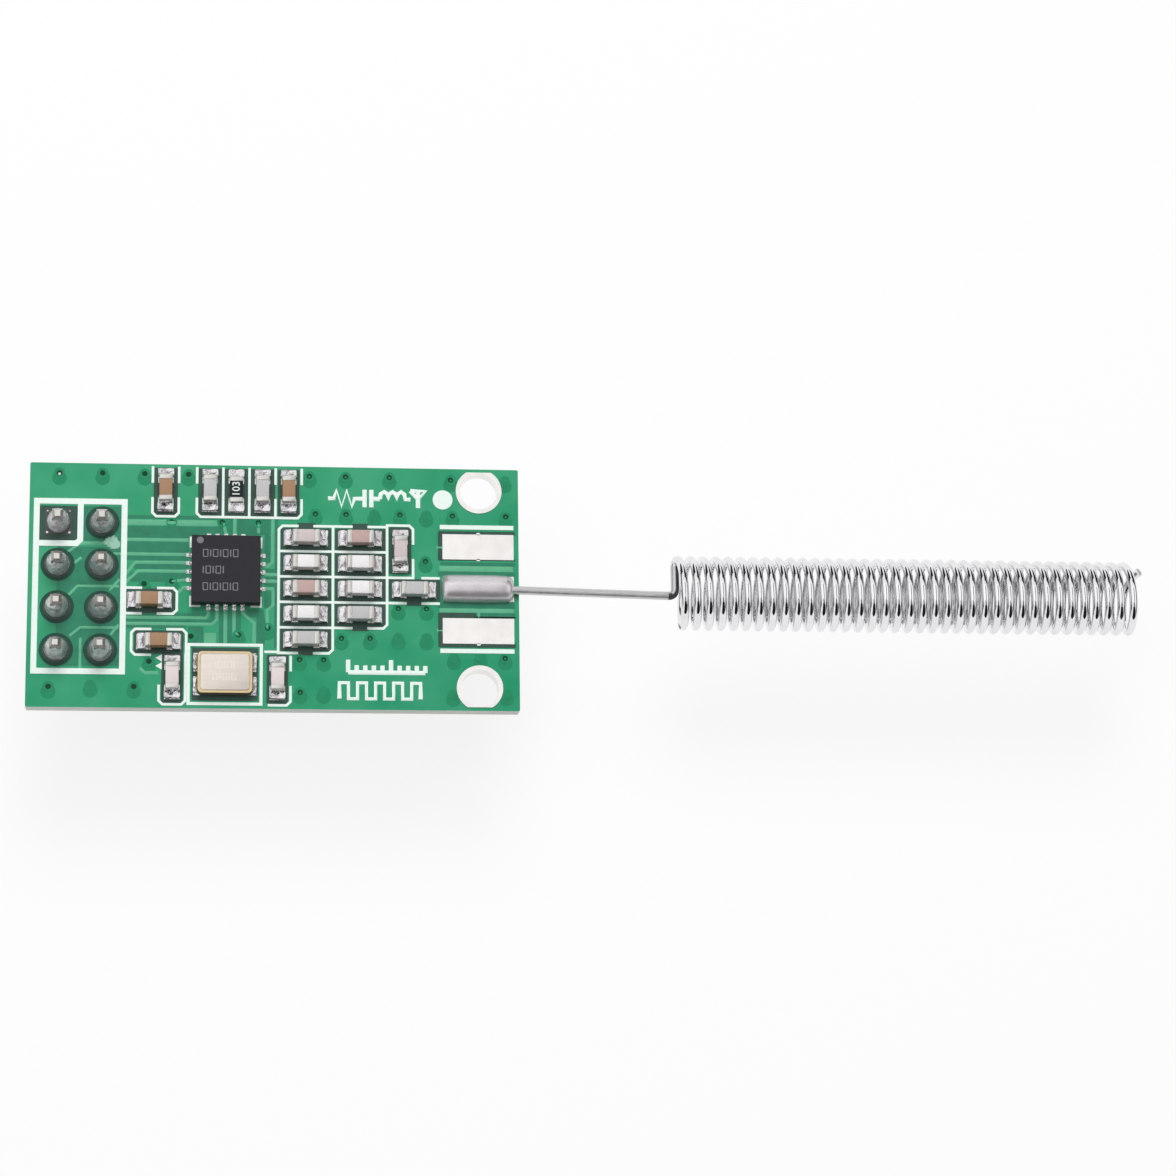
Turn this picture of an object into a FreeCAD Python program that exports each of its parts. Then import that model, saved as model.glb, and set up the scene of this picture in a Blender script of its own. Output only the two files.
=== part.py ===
import FreeCAD, Part
import math
import os
import Sketcher
from FreeCAD import Placement, Rotation, Vector

# Radio transceiver module with a wound wire antenna, in millimetres.
# The origin is the middle of the pin header, on the plane of the pins' tips.
# X runs towards the antenna, Y towards the row of upright chips, Z up out of the component side.

doc = FreeCAD.newDocument("transceiver_module")
sheet = doc.addObject("Spreadsheet::Sheet", "sizes")

# Each driving size is written once here: name, value and what it measures.
SIZES = [
    ("board_thickness", 1.0, "laminate with its copper"),
    ("board_corner", 0.1, "radius of the board's corners"),
    ("board_left", 2.97, "header's middle to the left edge"),
    ("board_top_margin", 0.28, "lands of the top row to the top edge"),
    ("board_bottom_margin", 0.77, "crystal to the bottom edge"),
    ("pin_pitch", 2.54, "header grid"),
    ("pin_side", 0.64, "square of a header pin"),
    ("pin_point", 0.16, "chamfer at both ends of a pin"),
    ("pin_tail", 6.0, "pin below the insulator"),
    ("pin_head", 3.0, "pin above the insulator"),
    ("insulator_height", 2.5, "header insulator"),
    ("insulator_notch", 0.4, "bevels between the insulator's cells"),
    ("header_hole", 1.0, "drilled hole for a pin"),
    ("header_land", 1.55, "copper ring round a pin"),
    ("header_joint_top", 0.96, "solder joint's width at its top"),
    ("header_joint_foot", 1.46, "solder joint's width on its land"),
    ("header_joint_show", 0.35, "pin left bare above its joint"),
    ("land_thickness", 0.05, "tinned copper above the solder mask"),
    ("chip_length", 1.6, "chip component, end to end"),
    ("chip_width", 0.8, "chip component, across"),
    ("chip_height", 0.8, "capacitors and inductors"),
    ("resistor_height", 0.5, "resistor"),
    ("chip_cap", 0.32, "length of a metal end cap"),
    ("chip_cap_proud", 0.02, "end caps stand this proud of the ceramic"),
    ("chip_land_toe", 0.49, "land beyond the end of its chip"),
    ("chip_land_heel", 0.36, "land below its chip"),
    ("chip_land_side", 0.05, "land beside its chip"),
    ("chip_fillet_rise", 0.55, "solder fillet's share of the chip's height"),
    ("cell_end_gap", 0.295, "land to the printed line at its end"),
    ("cell_side_gap", 0.365, "chip to the printed line beside it"),
    ("transceiver_side", 4.0, "square package"),
    ("transceiver_height", 0.85, "square package"),
    ("transceiver_gap", 3.92, "header's outline to the package"),
    ("transceiver_y", 0.93, "package's middle above the header's middle"),
    ("lead_pitch", 0.5, "package leads"),
    ("lead_width", 0.24, "package leads"),
    ("lead_length", 0.4, "package leads"),
    ("lead_thickness", 0.2, "lead frame"),
    ("lead_land_toe", 0.3, "land beyond the package"),
    ("lead_fillet", 0.2, "solder toe beyond the package"),
    ("paddle_side", 2.4, "heat pad below the package"),
    ("crystal_length", 3.2, "crystal package"),
    ("crystal_width", 2.5, "crystal package"),
    ("crystal_base_height", 0.5, "ceramic tray"),
    ("crystal_ring_height", 0.12, "gold seal ring"),
    ("crystal_lid_height", 0.1, "metal lid"),
    ("crystal_ring_inset", 0.03, "tray's edge to the seal ring"),
    ("crystal_ring_width", 0.39, "seal ring, outer to inner edge"),
    ("crystal_lid_inset", 0.13, "seal ring's edge to the lid"),
    ("crystal_corner", 0.25, "radius of the crystal's corners"),
    ("crystal_gap", 2.86, "package to the crystal"),
    ("crystal_land_length", 1.3, "along the crystal"),
    ("crystal_land_width", 1.1, "across the crystal"),
    ("crystal_land_toe", 0.22, "land beyond the crystal's end"),
    ("supply_lap", 0.07, "first supply capacitor's cell laps the header's outline"),
    ("supply_step", 0.57, "second supply capacitor beyond the first"),
    ("supply_1_drop", 1.77, "package's middle to the first supply capacitor"),
    ("supply_2_rise", 1.88, "crystal's middle to the second supply capacitor"),
    ("load_gap", 0.67, "crystal to the cells of its load capacitors"),
    ("load_drop", 0.22, "load capacitors below the crystal's middle"),
    ("row_left", 1.73, "left line of the top row to the package's middle"),
    ("row_gap", 1.05, "top row to the cell on its left"),
    ("row_rise", 0.47, "network's top line to the top row's bottom line"),
    ("network_gap", 1.07, "package to the matching network"),
    ("network_y", 0.85, "network's top line above the package's top edge"),
    ("edge_land_gap", 0.09, "network to the edge lands"),
    ("edge_land_length", 4.2, "lands at the antenna edge"),
    ("edge_land_width", 1.53, "lands at the antenna edge"),
    ("edge_land_pitch", 2.54, "lands at the antenna edge"),
    ("edge_land_margin", 0.3, "edge lands to the board's edge"),
    ("mount_hole", 2.2, "diameter of a mounting hole"),
    ("mount_ring", 2.72, "outer width of its plated ring"),
    ("mount_plating", 0.04, "copper on the hole's wall"),
    ("mount_inset_x", 2.34, "hole to the antenna edge"),
    ("mount_inset_y", 1.35, "hole to the long edge"),
    ("mount_ring_margin", 0.2, "ring stops this far from the long edge"),
    ("wire_diameter", 0.5, "antenna wire"),
    ("wire_lift", 0.05, "solder below the wire"),
    ("wire_offset", -0.12, "lead beside the board's middle line"),
    ("wire_seat", 3.4, "wire buried in its solder"),
    ("lead_reach", 9.35, "board's edge to the coil's upright"),
    ("coil_drop", 0.6, "coil's axis below the board's top face"),
    ("coil_offset", 0.06, "coil's axis beside the board's middle line"),
    ("coil_diameter", 3.95, "middle of the wire, across the coil"),
    ("coil_pitch", 0.749, "one turn to the next"),
    ("coil_turns", 36, "whole turns"),
    ("coil_last_turn", 340, "degrees of the last, open turn"),
    ("coil_bend", 0.45, "radius of the bend from lead to upright"),
    ("coil_entry", 0.5, "upright to the first turn, along the turn"),
    ("coil_shift", 0.1, "upright to the first turn, along the coil"),
    ("coil_tail", 0.6, "how far the cut end is sprung outwards"),
    ("antenna_solder_inset", 0.06, "solder hump inside the ends of its land"),
    ("antenna_solder_width", 1.3, "solder hump"),
    ("antenna_solder_height", 0.8, "solder hump"),
    ("antenna_solder_round", 0.4, "radius at the hump's ends"),
    ("legend_thickness", 0.03, "printed ink"),
    ("legend_line", 0.15, "printed lines round the chips"),
    ("legend_header_line", 0.34, "printed line round the header"),
    ("legend_edge_line", 0.26, "printed lines beside the edge lands"),
    ("legend_crystal_line", 0.18, "printed line round the crystal"),
    ("legend_corner", 0.22, "bevel at the corners of a printed box"),
    ("legend_gap", 0.86, "opening in the side of a printed box"),
    ("legend_package_line", 0.12, "printed corners round the package"),
    ("legend_package_arm", 0.6, "printed corners round the package"),
    ("legend_package_gap", 0.05, "package to its printed corners"),
    ("legend_crystal_gap", 0.5, "crystal to the printed line round it"),
    ("legend_edge_gap", 0.435, "edge lands to the printed line beside them"),
    ("legend_dot", 1.17, "round mark beside the mounting hole"),
    ("legend_dot_x", 2.14, "round mark to the mounting hole, along the board"),
    ("legend_dot_y", 0.555, "round mark to the mounting hole, across the board"),
]
for line, (name, number, meaning) in enumerate(SIZES, start=1):
    sheet.set(f"A{line}", meaning)
    sheet.set(f"B{line}", str(number))
    sheet.setAlias(f"B{line}", name)
doc.recompute()

# Places and sums that several pieces share, as expressions on the sheet.
UNDERSIDE = "(sizes.pin_tail + sizes.insulator_height)"
DECK = f"({UNDERSIDE} + sizes.board_thickness)"
LAND_TOP = f"({DECK} + sizes.land_thickness)"
CELL_LENGTH = "(sizes.chip_length + 2 * sizes.chip_land_toe + 2 * sizes.cell_end_gap)"
CELL_WIDTH = "(sizes.chip_width + 2 * sizes.cell_side_gap)"
TRANSCEIVER_X = "(sizes.pin_pitch + sizes.transceiver_gap + sizes.transceiver_side / 2)"
TRANSCEIVER_Y = "sizes.transceiver_y"
NETWORK_X = f"({TRANSCEIVER_X} + sizes.transceiver_side / 2 + sizes.network_gap)"
NETWORK_Y = f"({TRANSCEIVER_Y} + sizes.transceiver_side / 2 + sizes.network_y)"
CRYSTAL_Y = (f"({TRANSCEIVER_Y} - sizes.transceiver_side / 2 - sizes.crystal_gap"
             " - sizes.crystal_width / 2)")
TOP_ROW_Y = f"({NETWORK_Y} + sizes.row_rise + {CELL_LENGTH} / 2)"
EDGE_LAND_X = f"({NETWORK_X} + 3 * {CELL_LENGTH} + sizes.edge_land_gap)"
BOARD_RIGHT = f"({EDGE_LAND_X} + sizes.edge_land_length + sizes.edge_land_margin)"
BOARD_TOP = (f"({TOP_ROW_Y} + sizes.chip_length / 2 + sizes.chip_land_toe"
             " + sizes.board_top_margin)")
BOARD_BOTTOM = f"({CRYSTAL_Y} - sizes.crystal_width / 2 - sizes.board_bottom_margin)"
BOARD_MIDDLE = f"(({BOARD_TOP} + {BOARD_BOTTOM}) / 2)"
MOUNT_X = f"({BOARD_RIGHT} - sizes.mount_inset_x)"
MOUNT_TOP = f"({BOARD_TOP} - sizes.mount_inset_y)"
MOUNT_BOTTOM = f"({BOARD_BOTTOM} + sizes.mount_inset_y)"


# The small joints and hidden holes of the header are many-sided, so that the part stays light.
HOLE_SIDES = 12
JOINT_SIDES = 16


def number(expression):
    """The value of an expression on the sheet."""
    found = sheet.evalExpression(expression.replace("sizes.", ""))
    return float(getattr(found, "Value", found))


def bind(thing, expressions):
    """Tie properties of an object to expressions on the sheet."""
    for path, expression in expressions.items():
        thing.setExpression(path, expression)


def new_body(label):
    body = doc.addObject("PartDesign::Body", label)
    body.Label = label
    return body


def plane_of(body, role):
    return next(item for item in body.Origin.OriginFeatures if item.Role == role)


def outline(body, name, plane, *loops):
    """A sketch of closed loops of straight edges, whose corners are pairs of expressions."""
    sketch = body.newObject("Sketcher::SketchObject", f"{body.Label}_{name}")
    sketch.AttachmentSupport = [(plane_of(body, plane), "")]
    sketch.MapMode = "FlatFace"
    for corners in loops:
        add_loop(sketch, corners)
    return sketch


def add_loop(sketch, corners):
    """Add a closed loop to a sketch, each corner held by its two distances from the origin."""
    first = sketch.GeometryCount
    count = len(corners)
    spots = [Vector(number(across), number(up), 0) for across, up in corners]
    for index in range(count):
        sketch.addGeometry(Part.LineSegment(spots[index], spots[(index + 1) % count]), False)
    for index in range(count):
        following = first + (index + 1) % count
        sketch.addConstraint(Sketcher.Constraint("Coincident", first + index, 2, following, 1))
    for index, (across, up) in enumerate(corners):
        for kind, along in (("DistanceX", across), ("DistanceY", up)):
            distance = number(along)
            item = Sketcher.Constraint(kind, -1, 1, first + index, 1, distance)
            place = sketch.addConstraint(item)
            label = f"{kind[-1].lower()}{first + index}"
            sketch.renameConstraint(place, label)
            sketch.setExpression(f"Constraints.{label}", along)


def add_circle(sketch, across, up, diameter):
    """Add a round hole to a sketch at a pair of expressions."""
    middle = Vector(number(across), number(up), 0)
    circle = sketch.addGeometry(Part.Circle(middle, Vector(0, 0, 1), number(diameter) / 2), False)
    for kind, along in (("DistanceX", across), ("DistanceY", up)):
        place = sketch.addConstraint(Sketcher.Constraint(kind, -1, 1, circle, 3, number(along)))
        sketch.renameConstraint(place, f"{kind[-1].lower()}{circle}")
        sketch.setExpression(f"Constraints.{kind[-1].lower()}{circle}", along)
    place = sketch.addConstraint(Sketcher.Constraint("Diameter", circle, number(diameter)))
    sketch.renameConstraint(place, f"bore{circle}")
    sketch.setExpression(f"Constraints.bore{circle}", diameter)


def rectangle(length, width, across="0", up="0"):
    """Corners of a rectangle round a middle point, as expressions."""
    low_x, high_x = f"{across} - ({length}) / 2", f"{across} + ({length}) / 2"
    low_y, high_y = f"{up} - ({width}) / 2", f"{up} + ({width}) / 2"
    return [(low_x, low_y), (high_x, low_y), (high_x, high_y), (low_x, high_y)]


def hole_corners(diameter, across, up):
    """A many-sided hole for what solder or an insulator always hides, flat at its four ends."""
    reach = f"{diameter} / 2 / {math.cos(math.pi / HOLE_SIDES):.6f}"
    turns = [2 * math.pi * (side + 0.5) / HOLE_SIDES for side in range(HOLE_SIDES)]
    return [
        (f"{across} + {math.cos(turn):.6f} * {reach}", f"{up} + {math.sin(turn):.6f} * {reach}")
        for turn in turns
    ]


def pad(body, name, sketch, length, midplane=False):
    feature = body.newObject("PartDesign::Pad", f"{body.Label}_{name}")
    feature.Profile = sketch
    feature.setExpression("Length", length)
    feature.Midplane = midplane
    sketch.Visibility = False
    return feature


def pocket_through(body, name, sketch):
    """Cut a sketch through the whole body and make sure that it did cut."""
    doc.recompute()
    before = body.Shape.Volume
    feature = body.newObject("PartDesign::Pocket", f"{body.Label}_{name}")
    feature.Profile = sketch
    feature.Type = "ThroughAll"
    feature.Midplane = True
    doc.recompute()
    if not body.Shape.Volume < before:
        raise RuntimeError(f"{body.Label}: {name} cut nothing")
    return feature


def edges(feature, test):
    """Names of a feature's edges that pass a test."""
    doc.recompute()
    found = feature.Shape.Edges
    return [f"Edge{place}" for place, edge in enumerate(found, start=1) if test(edge)]


def dress(body, kind, name, base, size_name, test, property_name):
    """Add a fillet or a chamfer to the edges of a feature that pass a test."""
    feature = body.newObject(f"PartDesign::{kind}", f"{body.Label}_{name}")
    feature.Base = (base, edges(base, test))
    feature.setExpression(property_name, size_name)
    body.Tip = feature
    return feature


def upright(edge):
    low, high = edge.BoundBox.ZMin, edge.BoundBox.ZMax
    return high - low > 1e-6 and edge.BoundBox.XLength < 1e-6 and edge.BoundBox.YLength < 1e-6


def place(thing, across, up, height, turned=False):
    """Bind the place of an object, and give it a quarter turn if it stands along Y."""
    if turned:
        thing.Placement = Placement(Vector(0, 0, 0), Rotation(Vector(0, 0, 1), 90))
    bind(thing, {
        "Placement.Base.x": across,
        "Placement.Base.y": up,
        "Placement.Base.z": height,
    })


def group(label, shapes):
    """One node that holds several separate solids."""
    thing = doc.addObject("Part::Feature", label)
    thing.Label = label
    thing.Shape = Part.makeCompound(shapes)
    thing.Placement = Placement()
    return thing


def moved(shape, across, up, height, degrees=0):
    """A copy of a shape, turned about Z and then moved."""
    copy = shape.copy()
    copy.Placement = Placement(Vector(across, up, height), Rotation(Vector(0, 0, 1), degrees))
    return copy


# Where the header's eight pins stand: two columns of four, the first at the top left.
PIN_PLACES = [
    (f"{column} * sizes.pin_pitch", f"{row} * sizes.pin_pitch")
    for row in (1.5, 0.5, -0.5, -1.5)
    for column in (-0.5, 0.5)
]

# Chips of the top row stand upright in one printed box, left of which one has its own.
ROW_LEFT = f"({TRANSCEIVER_X} - sizes.row_left)"
ROW_ALONE_X = f"({ROW_LEFT} - sizes.row_gap - {CELL_WIDTH} / 2)"
# The crystal's two load capacitors stand upright beside it.
LOAD_STEP = f"({CELL_WIDTH} / 2 + sizes.crystal_length / 2 + sizes.load_gap)"
LOAD_Y = f"({CRYSTAL_Y} - sizes.load_drop)"
SUPPLY_X = f"(sizes.pin_pitch + {CELL_LENGTH} / 2 - sizes.supply_lap)"
SUPPLY_1_Y = f"({TRANSCEIVER_Y} - sizes.supply_1_drop)"
SUPPLY_2_Y = f"({CRYSTAL_Y} + sizes.supply_2_rise)"


def network_cell(column, row):
    """Middle of a cell of the matching network, counted from its top left."""
    across = f"{NETWORK_X} + {column + 0.5} * {CELL_LENGTH}"
    up = f"{NETWORK_Y} - {row + 0.5} * {CELL_WIDTH}"
    return across, up


# Each chip: name, height, middle, and whether it stands along Y.
CHIPS = [
    ("decoupling_capacitor", "chip_height", ROW_ALONE_X, TOP_ROW_Y, True),
    ("regulator_capacitor", "chip_height", f"{ROW_LEFT} + 0.5 * {CELL_WIDTH}", TOP_ROW_Y, True),
    ("bias_resistor", "resistor_height", f"{ROW_LEFT} + 1.5 * {CELL_WIDTH}", TOP_ROW_Y, True),
    ("bypass_capacitor_1", "chip_height", f"{ROW_LEFT} + 2.5 * {CELL_WIDTH}", TOP_ROW_Y, True),
    ("bypass_capacitor_2", "chip_height", f"{ROW_LEFT} + 3.5 * {CELL_WIDTH}", TOP_ROW_Y, True),
    ("supply_capacitor_1", "chip_height", SUPPLY_X, SUPPLY_1_Y, False),
    ("supply_capacitor_2", "chip_height", f"{SUPPLY_X} + sizes.supply_step", SUPPLY_2_Y, False),
    ("load_capacitor_1", "chip_height", f"{TRANSCEIVER_X} - {LOAD_STEP}", LOAD_Y, True),
    ("load_capacitor_2", "chip_height", f"{TRANSCEIVER_X} + {LOAD_STEP}", LOAD_Y, True),
    ("balun_capacitor_1", "chip_height", *network_cell(0, 0), False),
    ("balun_inductor_1", "chip_height", *network_cell(0, 1), False),
    ("balun_capacitor_2", "chip_height", *network_cell(0, 2), False),
    ("balun_inductor_2", "chip_height", *network_cell(0, 3), False),
    ("balun_capacitor_3", "chip_height", *network_cell(0, 4), False),
    ("filter_capacitor_1", "chip_height", *network_cell(1, 0), False),
    ("filter_inductor_1", "chip_height", *network_cell(1, 1), False),
    ("filter_inductor_2", "chip_height", *network_cell(1, 2), False),
    ("filter_capacitor_2", "chip_height", *network_cell(1, 3), False),
    ("filter_capacitor_3", "chip_height", f"{NETWORK_X} + 2 * {CELL_LENGTH} + {CELL_WIDTH} / 2",
     f"{NETWORK_Y} - 2 * {CELL_WIDTH} + {CELL_LENGTH} / 2", True),
    ("antenna_capacitor", "chip_height", *network_cell(2, 2), False),
]


def make_board():
    """The laminate, with its pin holes and the two mounting holes."""
    body = new_body("circuit_board")
    corners = [
        ("-sizes.board_left", BOARD_BOTTOM),
        (BOARD_RIGHT, BOARD_BOTTOM),
        (BOARD_RIGHT, BOARD_TOP),
        ("-sizes.board_left", BOARD_TOP),
    ]
    slab = pad(body, "slab", outline(body, "outline", "XY_Plane", corners), "sizes.board_thickness")
    dress(body, "Fillet", "corners", slab, "sizes.board_corner", upright, "Radius")
    pin_holes = [hole_corners("sizes.header_hole", across, up) for across, up in PIN_PLACES]
    holes = outline(body, "holes", "XY_Plane", *pin_holes)
    for up in (MOUNT_TOP, MOUNT_BOTTOM):
        add_circle(holes, MOUNT_X, up, "sizes.mount_hole + 2 * sizes.mount_plating")
    pocket_through(body, "drilling", holes)
    place(body, "0", "0", UNDERSIDE)
    return body


def make_insulator():
    """The header's moulded bar: one bevelled cell for each pair of pins."""
    body = new_body("header_insulator")
    side, bevel = "sizes.pin_pitch", "sizes.insulator_notch"
    climb = []
    for cell in (-2, -1, 0, 1):
        low, high = f"{cell} * {side}", f"{cell + 1} * {side}"
        if cell == -2:
            climb.append((f"{side} - {bevel}", low))
        climb.append((side, f"{low} + {bevel}"))
        climb.append((side, f"{high} - {bevel}"))
        climb.append((f"{side} - {bevel}", high))
    descent = [(f"-({across})", f"-({up})") for across, up in climb]
    holes = [rectangle("sizes.pin_side", "sizes.pin_side", across, up) for across, up in PIN_PLACES]
    sketch = outline(body, "outline", "XY_Plane", climb + descent, *holes)
    pad(body, "bar", sketch, "sizes.insulator_height")
    place(body, "0", "0", "sizes.pin_tail")
    return body


def make_pin(label, across, up):
    """A square header pin with a small point at each end."""
    body = new_body(label)
    sketch = outline(body, "section", "XY_Plane", rectangle("sizes.pin_side", "sizes.pin_side"))
    length = "sizes.pin_tail + sizes.insulator_height + sizes.pin_head"
    shaft = pad(body, "shaft", sketch, length)
    dress(body, "Chamfer", "points", shaft, "sizes.pin_point", lambda edge: not upright(edge), "Size")
    place(body, across, up, "0")
    return body


def make_chip(label, height_name, across, up, turned):
    """A ceramic chip whose metal end caps stand a little proud of it."""
    body = new_body(label)
    end, neck = "sizes.chip_length / 2", "(sizes.chip_length / 2 - sizes.chip_cap)"
    top, proud = f"sizes.{height_name}", "sizes.chip_cap_proud"
    right = [
        (neck, proud), (neck, "0"), (end, "0"), (end, top), (neck, top), (neck, f"{top} - {proud}"),
    ]
    left = [(f"-{across_point}", up_point) for across_point, up_point in reversed(right)]
    sketch = outline(body, "profile", "XZ_Plane", right + left)
    pad(body, "block", sketch, "sizes.chip_width", midplane=True)
    place(body, across, up, LAND_TOP, turned)
    return body


def make_chip_lands():
    """Two lands below each chip, longer than it at its ends."""
    length = number("sizes.chip_land_toe + sizes.chip_land_heel")
    width = number("sizes.chip_width + 2 * sizes.chip_land_side")
    heel = number("sizes.chip_length / 2 - sizes.chip_land_heel")
    land = Part.makeBox(length, width, number("sizes.land_thickness"), Vector(heel, -width / 2, 0))
    return group("chip_lands", at_chip_ends(lambda height_name: land, DECK))


def make_chip_solder():
    """A hollow solder fillet from each end cap down to the end of its land."""
    def fillet(height_name):
        start = number("sizes.chip_length / 2")
        toe = number("sizes.chip_land_toe - sizes.chip_land_side")
        rise = number(f"sizes.{height_name} * sizes.chip_fillet_rise")
        return wedge(start, toe, rise, number("sizes.chip_width"))
    return group("chip_solder", at_chip_ends(fillet, LAND_TOP))


def waist(foot, heel, head):
    """Where the hollow side of a solder joint breaks, pulled towards its heel."""
    pull = 0.4
    return heel * pull + (foot + head) * ((1 - pull) / 2)


def wedge(start, toe, rise, width):
    """A solder fillet: upright against a wall at start, hollow on its outer side."""
    heel, foot = Vector(start, 0, 0), Vector(start + toe, 0, 0)
    head = Vector(start, 0, rise)
    face = Part.Face(Part.makePolygon([heel, foot, waist(foot, heel, head), head, heel]))
    face.translate(Vector(0, -width / 2, 0))
    return face.extrude(Vector(0, width, 0))


def at_chip_ends(make, height):
    """Copies of a shape at both ends of every chip."""
    copies = []
    for label, height_name, across, up, turned in CHIPS:
        shape = make(height_name)
        for half_turn in (0, 180):
            degrees = half_turn + (90 if turned else 0)
            copies.append(moved(shape, number(across), number(up), number(height), degrees))
    return copies


def lead_steps():
    """How far each of a side's five leads stands from the side's middle."""
    return [number(f"{step} * sizes.lead_pitch") for step in (-2, -1, 0, 1, 2)]


def at_leads(make_shape, height):
    """Copies of a shape made for the package's right side, at all twenty leads."""
    copies = []
    for quarter in range(4):
        for step in lead_steps():
            shape = make_shape.copy()
            shape.translate(Vector(0, step, 0))
            place_x, place_y = number(TRANSCEIVER_X), number(TRANSCEIVER_Y)
            turned = Placement(Vector(place_x, place_y, number(height)),
                               Rotation(Vector(0, 0, 1), 90 * quarter))
            copies.append(shape.transformed(turned.toMatrix()))
    return copies


def make_transceiver():
    """The package's moulded block, notched below for its leads and heat pad."""
    body = new_body("transceiver_package")
    side, depth = "sizes.transceiver_side", "sizes.lead_thickness"
    block = pad(body, "block", outline(body, "outline", "XY_Plane", rectangle(side, side)),
                "sizes.transceiver_height")
    middle = f"{side} / 2 - sizes.lead_length / 2"
    notches = [
        rectangle("sizes.lead_length", "sizes.lead_width", middle, f"{step} * sizes.lead_pitch")
        for step in (-2, -1, 0, 1, 2)
    ]
    doc.recompute()
    whole = block.Shape.Volume
    cut = body.newObject("PartDesign::Pocket", "transceiver_notches")
    cut.Profile = outline(body, "notch_outline", "XY_Plane", *notches)
    cut.setExpression("Length", depth)
    cut.Reversed = True
    pattern = body.newObject("PartDesign::PolarPattern", "transceiver_notch_ring")
    pattern.Originals = [cut]
    pattern.Axis = (plane_of(body, "Z_Axis"), [""])
    pattern.Angle = 360
    pattern.Occurrences = 4
    body.Tip = pattern
    recess = body.newObject("PartDesign::Pocket", "transceiver_recess")
    paddle = rectangle("sizes.paddle_side", "sizes.paddle_side")
    recess.Profile = outline(body, "recess_outline", "XY_Plane", paddle)
    recess.setExpression("Length", depth)
    recess.Reversed = True
    body.Tip = recess
    doc.recompute()
    taken = number(f"{depth} * (20 * sizes.lead_length * sizes.lead_width + sizes.paddle_side ^ 2)")
    if abs(whole - body.Shape.Volume - taken) > 1e-6:
        raise RuntimeError("the package's notches are not as deep as its leads")
    place(body, TRANSCEIVER_X, TRANSCEIVER_Y, LAND_TOP)
    return body


def make_transceiver_metal():
    """The package's leads and heat pad, the lands below them and the solder toes outside."""
    half, thick = number("sizes.transceiver_side / 2"), number("sizes.lead_thickness")
    length, width = number("sizes.lead_length"), number("sizes.lead_width")
    paddle = number("sizes.paddle_side")
    corner = Vector(number(TRANSCEIVER_X) - paddle / 2, number(TRANSCEIVER_Y) - paddle / 2, 0)
    lead = Part.makeBox(length, width, thick, Vector(half - length, -width / 2, 0))
    heat_pad = Part.makeBox(paddle, paddle, thick, corner + Vector(0, 0, number(LAND_TOP)))
    leads = group("transceiver_leads", at_leads(lead, LAND_TOP) + [heat_pad])
    copper = number("sizes.land_thickness")
    reach = number("sizes.lead_land_toe") + length
    land = Part.makeBox(reach, width, copper, Vector(half - length, -width / 2, 0))
    heat_land = Part.makeBox(paddle, paddle, copper, corner + Vector(0, 0, number(DECK)))
    lands = group("transceiver_lands", at_leads(land, DECK) + [heat_land])
    toe = wedge(half, number("sizes.lead_fillet"), thick, width)
    solder = group("transceiver_solder", at_leads(toe, LAND_TOP))
    return [leads, lands, solder]


def make_crystal():
    """The crystal's ceramic tray, its gold seal ring and its metal lid."""
    tray = new_body("crystal_tray")
    length, width = "sizes.crystal_length", "sizes.crystal_width"
    block = pad(tray, "block", outline(tray, "outline", "XY_Plane", rectangle(length, width)),
                "sizes.crystal_base_height")
    dress(tray, "Fillet", "corners", block, "sizes.crystal_corner", upright, "Radius")
    place(tray, TRANSCEIVER_X, CRYSTAL_Y, LAND_TOP)

    ring = new_body("crystal_seal_ring")
    inset = "2 * sizes.crystal_ring_inset"
    wide = "2 * (sizes.crystal_ring_inset + sizes.crystal_ring_width)"
    outer = rectangle(f"({length} - {inset})", f"({width} - {inset})")
    inner = rectangle(f"({length} - {wide})", f"({width} - {wide})")
    band = pad(ring, "band", outline(ring, "outline", "XY_Plane", outer, inner),
               "sizes.crystal_ring_height")
    reach = number(f"{length} / 2 - sizes.crystal_ring_inset")
    dress(ring, "Fillet", "corners", band, "sizes.crystal_corner",
          lambda edge: upright(edge) and abs(abs(edge.BoundBox.XMin) - reach) < 1e-6, "Radius")
    place(ring, TRANSCEIVER_X, CRYSTAL_Y, f"{LAND_TOP} + sizes.crystal_base_height")

    lid = new_body("crystal_lid")
    step = "2 * (sizes.crystal_ring_inset + sizes.crystal_lid_inset)"
    plate = pad(lid, "plate", outline(lid, "outline", "XY_Plane",
                                      rectangle(f"({length} - {step})", f"({width} - {step})")),
                "sizes.crystal_lid_height")
    dress(lid, "Fillet", "corners", plate, "sizes.crystal_corner / 2", upright, "Radius")
    place(lid, TRANSCEIVER_X, CRYSTAL_Y,
          f"{LAND_TOP} + sizes.crystal_base_height + sizes.crystal_ring_height")
    return [tray, ring, lid]


def make_crystal_metal():
    """Four corner lands below the crystal, and solder up its ends."""
    length, width = number("sizes.crystal_land_length"), number("sizes.crystal_land_width")
    half, toe = number("sizes.crystal_length / 2"), number("sizes.crystal_land_toe")
    beside = number("sizes.crystal_width / 2") - width / 2
    land = Part.makeBox(length, width, number("sizes.land_thickness"),
                        Vector(half + toe - length, -width / 2, 0))
    rounded_off = 2 * number("sizes.crystal_corner")
    fillet = wedge(half, toe, number("sizes.crystal_base_height"), width - rounded_off)
    lands, joints = [], []
    for half_turn in (0, 180):
        for up in (beside, -beside):
            for shape, kept, height in ((land, lands, DECK), (fillet, joints, LAND_TOP)):
                copy = moved(shape, 0, up, 0)
                spot = (number(TRANSCEIVER_X), number(CRYSTAL_Y), number(height))
                turn = Placement(Vector(*spot), Rotation(Vector(0, 0, 1), half_turn))
                kept.append(copy.transformed(turn.toMatrix()))
    return [group("crystal_lands", lands), group("crystal_solder", joints)]


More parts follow.
